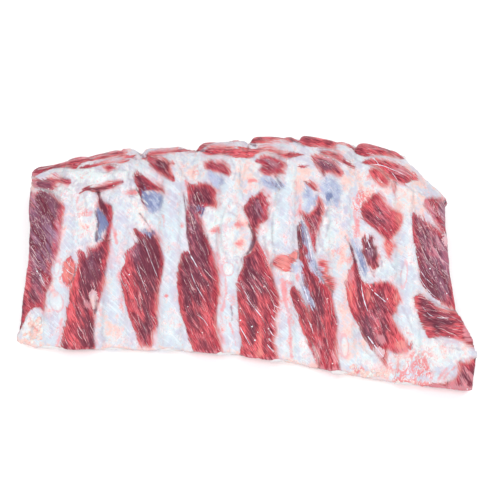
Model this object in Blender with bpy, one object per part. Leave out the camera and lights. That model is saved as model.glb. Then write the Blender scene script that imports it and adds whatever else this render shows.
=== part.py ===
"""A raw slab of beef ribs: seven rib bones let into one slab of meat.

The slab lies with its outer side up, as an arch that rests on its sawn near edge and on
the thick far edge, where the meat ends in a row of overlapping lobes.

Frame: +X along the slab, across the bones; +Y from the sawn edge to the lobed edge; +Z up.
The origin is the centre of the slab's footprint, on the surface that it lies on.
A place on the slab is given as (rib, along): rib runs from 0 at the left end to 8 at the
right end and is a whole number on each bone, and along runs from 0 at the sawn edge to 1
where the far face is vertical.
"""

import math

import bmesh
import bpy
from mathutils import Vector

MM = 0.001

# Where the rib lines run: one value for the left end, each of the 7 bones, and the right end.
RIB_COUNT = 7
X_NEAR_MM = (-191.0, -161.0, -109.0, -61.0, -12.0, 33.0, 84.0, 135.0, 192.0)
X_MIDDLE_MM = (-186.0, -155.0, -108.0, -64.0, -15.0, 34.0, 82.0, 138.0, 176.0)
X_FAR_MM = (-191.0, -152.0, -105.0, -60.0, -4.0, 46.0, 96.0, 142.0, 178.0)
Y_NEAR_MM = (-81.0, -88.0, -89.0, -90.0, -93.5, -100.0, -111.0, -120.5, -126.0)
Y_FAR_MM = (79.0, 98.0, 106.0, 111.0, 117.0, 119.0, 113.0, 97.0, 50.0)
MIDDLE_ALONG = 0.45

# The arch, seen from the end.
NEAR_HEIGHT = 16.0 * MM
PEAK_HEIGHT = 52.0 * MM
PEAK_ALONG = 0.62
PEAK_SHARE_OF_DEPTH = 0.66
ARCH_FULLNESS = 0.95
END_DROP = 5.0 * MM
LEFT_DROP_BEFORE_RIB = 1.0
RIGHT_DROP_AFTER_RIB = 6.6
FAR_BULGE_HEIGHT = 22.0 * MM
FAR_FOOT_INSET = 8.0 * MM
SAW_UNDERCUT = 7.0 * MM
SAW_TILT = math.atan(SAW_UNDERCUT / NEAR_HEIGHT)
HOLLOW_HEIGHT = 18.0 * MM
HOLLOW_TAPER = 1.2
NEAR_FOOT = 12.0 * MM
FAR_FOOT = 16.0 * MM

# The lobes along the far edge: each starts at a crease and tapers to the next one.
LOBE_CREASES = (2.27, 3.33, 4.22, 5.13, 6.17, 7.6)
FIRST_LOBE_PEAK = 1.7
FIRST_LOBE_SHARE = 0.9
LOBE_TAPER = 0.8
LOBE_ROLL = 0.3
LOBE_BULGE = 7.0 * MM
LOBE_RISE = 3.0 * MM
LOBE_START_ALONG = 0.58
LOBE_FULL_ALONG = 0.85
CREASE_WIDTH = 0.05

# Relief of the upper side.
VALLEY_DEPTH = 3.0 * MM
VALLEY_FADE_ALONG = 0.2
END_ROUNDING = 7.0 * MM
END_ROUNDING_DEGREES = (0, 30, 60)
END_INSET_SHARE = 0.7
INSET_SIDEWAYS = 0.6
INSET_DOWN_NEAR = 1.0
INSET_DOWN_FAR = 0.3

# The bones.
BONE_WIDTH_NEAR = 22.0 * MM
BONE_WIDTH_FAR = 16.0 * MM
BONE_THICKNESS = 12.0 * MM
BONE_PROUD = 1.5 * MM
BONE_SINK = BONE_THICKNESS / 2 - BONE_PROUD
BONE_STICKS_OUT = 1.5 * MM
BONE_END_HEIGHT = 20.0 * MM
BONE_UPRIGHT_FROM = 0.8
BONE_GAP = 0.3 * MM
CHANNEL_OVERRUN = 10.0 * MM

# How finely the faceted solids are drawn.
SLAB_STATIONS = 70
TOP_POINTS = 32
FAR_POINTS = 4
UNDER_POINTS = 10
SAW_POINTS = 2
BONE_SIDES = 10
BONE_RINGS = 18
SHARP_ANGLE = math.radians(40.0)

MEAT_COLOUR = (0.40, 0.05, 0.06, 1.0)
BONE_COLOUR = (0.80, 0.76, 0.72, 1.0)

# Raised pads of fat and low hollows: (rib, along, across mm, lengthwise mm, height mm).
PADS = (
    (0.35, 0.10, 14.0, 16.0, 3.0),
    (4.12, 0.50, 12.0, 20.0, 2.5),
    (1.40, 0.62, 8.0, 26.0, 2.5),
    (5.72, 0.44, 7.0, 14.0, 2.5),
    (6.55, 0.72, 12.0, 18.0, 2.5),
    (7.55, 0.45, 10.0, 40.0, 2.5),
    (7.60, 0.12, 16.0, 14.0, 4.0),
    (4.45, 0.60, 3.0, 26.0, -4.0),
    (5.30, 0.55, 3.0, 30.0, -3.5),
    (3.30, 0.66, 3.0, 22.0, -3.0),
    (6.45, 0.52, 4.0, 18.0, -3.5),
)


def curve_through(values, rib):
    """A smooth curve through values, one for each whole number of rib."""
    index = min(max(int(math.floor(rib)), 0), len(values) - 2)
    t = rib - index
    before = values[index - 1] if index > 0 else 2 * values[0] - values[1]
    last = len(values) - 1
    after = values[index + 2] if index + 2 <= last else 2 * values[last] - values[last - 1]
    a, b = values[index], values[index + 1]
    return 0.5 * (
        2 * a
        + (b - before) * t
        + (2 * before - 5 * a + 4 * b - after) * t**2
        + (3 * a - before - 3 * b + after) * t**3
    )


def rib_line_x(rib, along):
    """X of a rib line: a parabola through its near, middle and far places."""
    near, middle, far = (
        curve_through(row, rib) * MM for row in (X_NEAR_MM, X_MIDDLE_MM, X_FAR_MM)
    )
    m = MIDDLE_ALONG
    return (
        near * (along - m) * (along - 1) / m
        + middle * along * (along - 1) / (m * (m - 1))
        + far * along * (along - m) / (1 - m)
    )


def lobe_share(rib):
    """How far the far edge bulges: 1 at a lobe's full left end, 0 in a crease."""
    if rib < LOBE_CREASES[0]:
        rise = min(max(rib / FIRST_LOBE_PEAK, 0.0), 1.0)
        fall = (rib - FIRST_LOBE_PEAK) / (LOBE_CREASES[0] - FIRST_LOBE_PEAK)
        return FIRST_LOBE_SHARE * rise * (1 - min(max(fall, 0.0), 1.0) ** 2)
    for start, stop in zip(LOBE_CREASES[:-1], LOBE_CREASES[1:]):
        if start <= rib < stop:
            t = (rib - start) / (stop - start)
            return (1 - math.exp(-t / CREASE_WIDTH)) * (1 - t) ** LOBE_TAPER
    return 0.0


def depth_of(rib):
    """(y of the sawn edge, distance from there to the far face) at a rib line."""
    y_near = curve_through(Y_NEAR_MM, rib) * MM
    y_far = curve_through(Y_FAR_MM, rib) * MM + LOBE_BULGE * lobe_share(rib)
    return y_near, y_far - y_near


def peak_height(rib):
    """Height of the arch's crown, which drops a little towards both ends."""
    last = RIB_COUNT + 1
    left = min(max(1.0 - rib / LEFT_DROP_BEFORE_RIB, 0.0), 1.0)
    right = min(max((rib - RIGHT_DROP_AFTER_RIB) / (last - RIGHT_DROP_AFTER_RIB), 0.0), 1.0)
    return PEAK_HEIGHT - END_DROP * (left**2 + right**2)


def arch(rib, along):
    """(distance from the sawn edge, height) of the plain arch, with no relief."""
    depth = depth_of(rib)[1]
    crown = peak_height(rib)
    at_peak = depth * PEAK_SHARE_OF_DEPTH
    if along < PEAK_ALONG:
        share = along / PEAK_ALONG
        rise = math.sin(share * math.pi / 2) ** ARCH_FULLNESS
        return at_peak * share, NEAR_HEIGHT + (crown - NEAR_HEIGHT) * rise
    turn = (along - PEAK_ALONG) / (1 - PEAK_ALONG) * math.pi / 2
    return (
        at_peak + (depth - at_peak) * math.sin(turn),
        FAR_BULGE_HEIGHT + (crown - FAR_BULGE_HEIGHT) * math.cos(turn),
    )


def relief(rib, along):
    """Height of the upper side over the plain arch: ridges on the bones, pads of fat."""
    fade = min(1.0, (1 - along) / VALLEY_FADE_ALONG)
    height = -VALLEY_DEPTH * (1 - math.cos(2 * math.pi * rib)) / 2 * fade
    share = (along - LOBE_START_ALONG) / (LOBE_FULL_ALONG - LOBE_START_ALONG)
    roll = math.cos(along * math.pi / 2) ** LOBE_ROLL
    height += LOBE_RISE * lobe_share(rib) * min(max(share, 0.0), 1.0) * roll
    depth = depth_of(rib)[1]
    for pad_rib, pad_along, across, lengthwise, pad_height in PADS:
        side = rib_line_x(rib, along) - rib_line_x(pad_rib, along)
        ahead = (along - pad_along) * depth
        far_off = (side / (across * MM)) ** 2 + (ahead / (lengthwise * MM)) ** 2
        height += pad_height * MM * math.exp(-far_off)
    return height


def top_point(rib, along):
    """A point of the upper side, with its relief."""
    ahead, height = arch(rib, along)
    y_near = depth_of(rib)[0]
    return Vector((rib_line_x(rib, along), y_near + ahead, height + relief(rib, along)))


def underside(depth):
    """(distance from the sawn edge, height) of the hollow under the arch, from the far foot to the near."""
    near, far = SAW_UNDERCUT + NEAR_FOOT, depth - FAR_FOOT_INSET - FAR_FOOT
    points = []
    for n in range(UNDER_POINTS):
        share = n / (UNDER_POINTS - 1)
        height = HOLLOW_HEIGHT * max(math.sin(math.pi * share), 0.0) ** HOLLOW_TAPER
        points.append((far + (near - far) * share, 0.0 if n in (0, UNDER_POINTS - 1) else height))
    return points


def section(rib, inset):
    """The slab's closed outline at a rib line. inset is how far it is pulled in all round."""
    y_near, depth = depth_of(rib)
    points = []
    for n in range(TOP_POINTS):
        along = n / (TOP_POINTS - 1)
        point = top_point(rib, along)
        point.z -= inset * (INSET_DOWN_NEAR + (INSET_DOWN_FAR - INSET_DOWN_NEAR) * along)
        point.y += inset * INSET_SIDEWAYS * (1 - 2 * along)
        points.append(point)
    for n in range(1, FAR_POINTS + 1):
        turn = n / FAR_POINTS * math.pi / 2
        ahead = depth - FAR_FOOT_INSET * (1 - math.cos(turn)) - inset * INSET_SIDEWAYS
        height = FAR_BULGE_HEIGHT * (1 - math.sin(turn))
        points.append(Vector((rib_line_x(rib, 1.0), y_near + ahead, height)))
    for ahead, height in underside(depth) + [(SAW_UNDERCUT + inset * INSET_SIDEWAYS, 0.0)]:
        points.append(Vector((rib_line_x(rib, ahead / depth), y_near + ahead, height)))
    foot, rim = points[-1].copy(), points[0].copy()
    for n in range(1, SAW_POINTS + 1):
        points.append(foot.lerp(rim, n / (SAW_POINTS + 1)))
    return points


def station_list():
    """(rib, inset) of each section, closely spaced at the rounded ends."""
    width = (X_NEAR_MM[-1] - X_NEAR_MM[0]) * MM / (RIB_COUNT + 1)
    ends = []
    for degrees in END_ROUNDING_DEGREES:
        turn = math.radians(degrees)
        distance = END_ROUNDING * (1 - math.cos(turn)) / width
        ends.append((distance, END_ROUNDING * END_INSET_SHARE * (1 - math.sin(turn))))
    inner = END_ROUNDING / width
    last = RIB_COUNT + 1.0
    step = (last - 2 * inner) / (SLAB_STATIONS - 1)
    middle = [(inner + n * step, 0.0) for n in range(SLAB_STATIONS)]
    for crease in LOBE_CREASES:
        nearest = min(middle, key=lambda station: abs(station[0] - crease))
        middle.remove(nearest)
        middle += [(crease - CREASE_WIDTH / 5, 0.0), (crease + CREASE_WIDTH, 0.0)]
    middle.sort()
    return ends + middle + [(last - distance, inset) for distance, inset in reversed(ends)]


def loft(name, sections):
    """A closed solid through equal-sized rings of points, made by extruding one ring."""
    mesh = bpy.data.meshes.new(name)
    shape = bmesh.new()
    made = bmesh.ops.create_circle(shape, segments=len(sections[0]), radius=1.0)
    ring = made["verts"]
    for vertex, point in zip(ring, sections[0]):
        vertex.co = point
    edges = list(shape.edges)
    start_edges = edges
    for points in sections[1:]:
        grown = bmesh.ops.extrude_edge_only(shape, edges=edges)["geom"]
        new_vertices = [g for g in grown if isinstance(g, bmesh.types.BMVert)]
        kept = set(new_vertices)
        edges = [g for g in grown if isinstance(g, bmesh.types.BMEdge) and kept.issuperset(g.verts)]
        for vertex, point in zip(new_vertices, points):
            vertex.co = point
    for rim in (start_edges, edges):
        bmesh.ops.contextual_create(shape, geom=rim)
    bmesh.ops.recalc_face_normals(shape, faces=shape.faces)
    shape.to_mesh(mesh)
    shape.free()
    return bpy.data.objects.new(name, mesh)


def bone_centre(rib, ahead):
    """A point on a bone's centreline, at a distance from the sawn edge."""
    y_near, depth = depth_of(rib)
    at_peak = depth * PEAK_SHARE_OF_DEPTH
    crown = peak_height(rib)
    if ahead <= 0:
        along, height = 0.0, NEAR_HEIGHT + ahead * math.tan(SAW_TILT)
    elif ahead < at_peak:
        along = PEAK_ALONG * ahead / at_peak
        height = arch(rib, along)[1]
    else:
        share = min((ahead - at_peak) / (depth - at_peak), 1.0)
        along = PEAK_ALONG + (1 - PEAK_ALONG) * math.asin(share) / (math.pi / 2)
        height = crown - (crown - BONE_SINK - BONE_END_HEIGHT) * share**2
    return Vector((rib_line_x(rib, along), y_near + ahead, height - BONE_SINK))


def bone_ring(rib, ahead, grow):
    """One ring round a bone. The rings turn upright towards the far face, which is sawn upright."""
    here = bone_centre(rib, ahead)
    run = (bone_centre(rib, ahead + MM) - bone_centre(rib, ahead - MM)).normalized()
    across = Vector((1.0, 0.0, 0.0))
    across = (across - run * across.dot(run)).normalized()
    share = ahead / depth_of(rib)[1]
    upright = min(max((share - BONE_UPRIGHT_FROM) / (1 - BONE_UPRIGHT_FROM), 0.0), 1.0)
    square = across.cross(run).normalized()
    up = square.lerp(Vector((0.0, 0.0, 1.0 / square.z)), upright)
    half_width = (BONE_WIDTH_NEAR + (BONE_WIDTH_FAR - BONE_WIDTH_NEAR) * share) / 2 + grow
    half_thickness = BONE_THICKNESS / 2 + grow
    ring = []
    for n in range(BONE_SIDES):
        turn = 2 * math.pi * (n + 0.5) / BONE_SIDES
        side, lift = half_width * math.cos(turn), half_thickness * math.sin(turn)
        ring.append(here + across * side + up * lift)
    return ring


def bone(name, rib, grow=0.0, overrun=0.0):
    """A rib bone, or the cutter for its channel: grow makes it fatter, overrun adds to its ends."""
    depth = depth_of(rib)[1]
    saw_face = SAW_UNDERCUT * BONE_SINK / NEAR_HEIGHT
    start, stop = saw_face - BONE_STICKS_OUT, depth + BONE_STICKS_OUT
    places = [start + (stop - start) * n / (BONE_RINGS - 1) for n in range(BONE_RINGS)]
    if overrun:
        places = [start - overrun] + places + [stop + overrun]
    return loft(name, [bone_ring(rib, place, grow) for place in places])


def finish(name, colour, roughness):
    """A plain material for one kind of sub-part."""
    material = bpy.data.materials.new(name)
    material.use_nodes = True
    shader = material.node_tree.nodes["Principled BSDF"]
    shader.inputs["Base Color"].default_value = colour
    shader.inputs["Roughness"].default_value = roughness
    shader.inputs["Metallic"].default_value = 0.0
    return material


def collection(name):
    made = bpy.data.collections.new(name)
    bpy.context.scene.collection.children.link(made)
    return made


def main():
    for old in list(bpy.data.objects):
        bpy.data.objects.remove(old)
    parts = collection("slab_of_ribs")
    cutters = collection("bone_channels")
    meat_finish = finish("meat", MEAT_COLOUR, 0.4)
    bone_finish = finish("bone", BONE_COLOUR, 0.5)

    meat = loft("meat", [section(rib, inset) for rib, inset in station_list()])
    meat.data.materials.append(meat_finish)
    parts.objects.link(meat)

    for rib in range(1, RIB_COUNT + 1):
        piece = bone(f"rib_bone_{rib}", rib)
        piece.data.materials.append(bone_finish)
        piece.data.shade_smooth()
        piece.data.set_sharp_from_angle(angle=SHARP_ANGLE)
        parts.objects.link(piece)

        channel = bone(f"channel_{rib}", rib, BONE_GAP, CHANNEL_OVERRUN)
        channel.hide_render = True
        channel.display_type = "WIRE"
        cutters.objects.link(channel)
        cut = meat.modifiers.new(f"channel_{rib}", "BOOLEAN")
        cut.operation = "DIFFERENCE"
        cut.solver = "EXACT"
        cut.object = channel


main()
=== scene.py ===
"""Finishes a raw slab of beef ribs: its meat, fat and membranes, its seven bones and its stage.

The slab lies with its outer side up. A place on it is (rib, along): rib runs from 0 at the
left end to 8 at the right end, along from 0 at the sawn edge to 1 at the lobed edge. What
is drawn on the outer side is given in the view's own frame of 500 x 500 pixels, and lands
on the point of the slab that the camera sees there.
"""

import math
import random

import bmesh
import bpy
import numpy as np
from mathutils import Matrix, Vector, noise
from mathutils.bvhtree import BVHTree


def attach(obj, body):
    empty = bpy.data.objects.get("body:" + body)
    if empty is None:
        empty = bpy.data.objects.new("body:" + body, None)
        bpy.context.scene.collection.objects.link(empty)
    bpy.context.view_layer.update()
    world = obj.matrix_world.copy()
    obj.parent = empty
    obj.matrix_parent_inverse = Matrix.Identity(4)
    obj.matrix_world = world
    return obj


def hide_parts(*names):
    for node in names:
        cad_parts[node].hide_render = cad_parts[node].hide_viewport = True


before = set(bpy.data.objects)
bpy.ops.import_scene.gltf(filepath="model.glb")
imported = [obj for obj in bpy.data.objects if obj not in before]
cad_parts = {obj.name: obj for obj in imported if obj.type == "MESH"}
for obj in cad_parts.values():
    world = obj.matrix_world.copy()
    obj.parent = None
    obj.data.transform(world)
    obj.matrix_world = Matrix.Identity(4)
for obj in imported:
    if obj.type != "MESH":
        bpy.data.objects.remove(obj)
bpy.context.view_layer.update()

bl_info = {
    "name": "Slab of Ribs",
    "version": (1, 0, 0),
    "blender": (4, 5, 0),
    "location": "View3D > Sidebar > Ribs",
    "description": "Builds and finishes a raw slab of beef ribs",
    "category": "Object",
}

MM = 0.001

# ---------------------------------------------------------------- the slab's form, in mm
X_NEAR = (-191.0, -161.0, -109.0, -61.0, -12.0, 33.0, 84.0, 135.0, 192.0)
X_MIDDLE = (-186.0, -155.0, -108.0, -64.0, -15.0, 34.0, 82.0, 138.0, 176.0)
X_FAR = (-191.0, -152.0, -105.0, -60.0, -4.0, 46.0, 96.0, 142.0, 178.0)
Y_NEAR = (-81.0, -88.0, -89.0, -90.0, -93.5, -100.0, -111.0, -120.5, -126.0)
Y_FAR = (79.0, 98.0, 106.0, 111.0, 117.0, 119.0, 113.0, 97.0, 50.0)
LAST_RIB = 8.0
MIDDLE_ALONG = 0.45
NEAR_HEIGHT = 16.0
PEAK_HEIGHT = 52.0
PEAK_ALONG = 0.62
PEAK_SHARE_OF_DEPTH = 0.66
ARCH_FULLNESS = 0.95
END_DROP = 5.0
LEFT_DROP_BEFORE_RIB = 1.0
RIGHT_DROP_AFTER_RIB = 6.6
FAR_BULGE_HEIGHT = 22.0
FAR_FOOT_INSET = 8.0
SAW_UNDERCUT = 7.0
HOLLOW_HEIGHT = 18.0
HOLLOW_TAPER = 1.2
NEAR_FOOT = 12.0
FAR_FOOT = 16.0
FAR_FOOT_REST = 3.0
LOBE_CREASES = (2.27, 3.33, 4.22, 5.13, 6.17, 7.6)
FIRST_LOBE_PEAK = 1.7
FIRST_LOBE_SHARE = 0.9
LOBE_TAPER = 0.8
LOBE_ROLL = 0.3
LOBE_BULGE = 7.0
LOBE_RISE = 3.0
LOBE_START_ALONG = 0.58
LOBE_FULL_ALONG = 0.85
CREASE_WIDTH = 0.05
VALLEY_DEPTH = 3.0
VALLEY_FADE_ALONG = 0.2
END_ROUNDING = 7.0
END_INSET_SHARE = 0.7
INSET_SIDEWAYS = 0.6
INSET_DOWN_NEAR = 1.0
INSET_DOWN_FAR = 0.3
BONE_WIDTH_NEAR = 22.0
BONE_WIDTH_FAR = 16.0
BONE_THICKNESS = 12.0
BONE_SINK = 4.5
BONE_END_HEIGHT = 20.0
BONE_UPRIGHT_FROM = 0.8
RIB_COUNT = 7

# How far the seen outline stands out from the plain solid: the far edge at each rib line,
# and both ends at even steps from the sawn edge to the lobed edge.
FAR_SHIFT = (9.0, -5.0, -4.0, -5.0, -3.0, -1.0, -1.0, 1.0, 7.0)
LEFT_SHIFT = (0.0, 0.6, 2.0, 1.2, -2.0, -3.5, -3.0)
RIGHT_SHIFT = (-4.0, 7.0, -1.5, -2.0, 0.0, 2.0, 5.0)
SHIFTED_RIBS = 1.0
SHIFT_FADE = 1.5

# Raised pads of fat and low hollows: (rib, along, across, lengthwise, height).
PADS = (
    (0.35, 0.10, 14.0, 16.0, 3.0),
    (4.12, 0.50, 12.0, 20.0, 2.5),
    (1.40, 0.62, 8.0, 26.0, 2.5),
    (5.72, 0.44, 7.0, 14.0, 2.5),
    (6.55, 0.72, 12.0, 18.0, 2.5),
    (7.55, 0.45, 10.0, 40.0, 2.5),
    (7.60, 0.12, 16.0, 14.0, 4.0),
    (4.45, 0.60, 3.0, 26.0, -4.0),
    (5.30, 0.55, 3.0, 30.0, -3.5),
    (3.30, 0.66, 3.0, 22.0, -3.0),
    (6.45, 0.52, 4.0, 18.0, -3.5),
)

# How finely the skin is drawn: points round one section, and sections along the slab.
TOP_POINTS = 190
FAR_POINTS = 12
UNDER_POINTS = 24
SAW_POINTS = 9
STATIONS = 366
ROUNDING_RINGS = 6
CAP_SHARES = (0.06, 0.15, 0.27, 0.4, 0.53, 0.66, 0.78, 0.88, 0.95)
CAP_NEAR_INSET = 9.0
CAP_FAR_INSET = 15.0
COVER_OVER_BONE = 1.9
COVER_SHARPNESS = 0.7
DEEPEST_OVER_BONE = -0.5
DEEPER_BESIDE_BONE = 6.0

# ---------------------------------------------------------------- the camera, in mm and degrees
VIEW_TARGET = Vector((5.0, -1.0, 30.0))
VIEW_DISTANCE = 900.0
VIEW_ELEVATION = 60.0
VIEW_LENS = 74.5
VIEW_SENSOR = 36.0
VIEW_PIXELS = 500.0
VIEW_CENTRE = VIEW_PIXELS / 2
PIXEL_MM = VIEW_DISTANCE * VIEW_SENSOR / VIEW_LENS / VIEW_PIXELS
VIEW_BACK = Vector((0.0, -math.cos(math.radians(VIEW_ELEVATION)), math.sin(math.radians(VIEW_ELEVATION))))
VIEW_RIGHT = Vector((1.0, 0.0, 0.0))
VIEW_UP = VIEW_BACK.cross(VIEW_RIGHT)
VIEW_PLACE = VIEW_TARGET + VIEW_BACK * VIEW_DISTANCE

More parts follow.
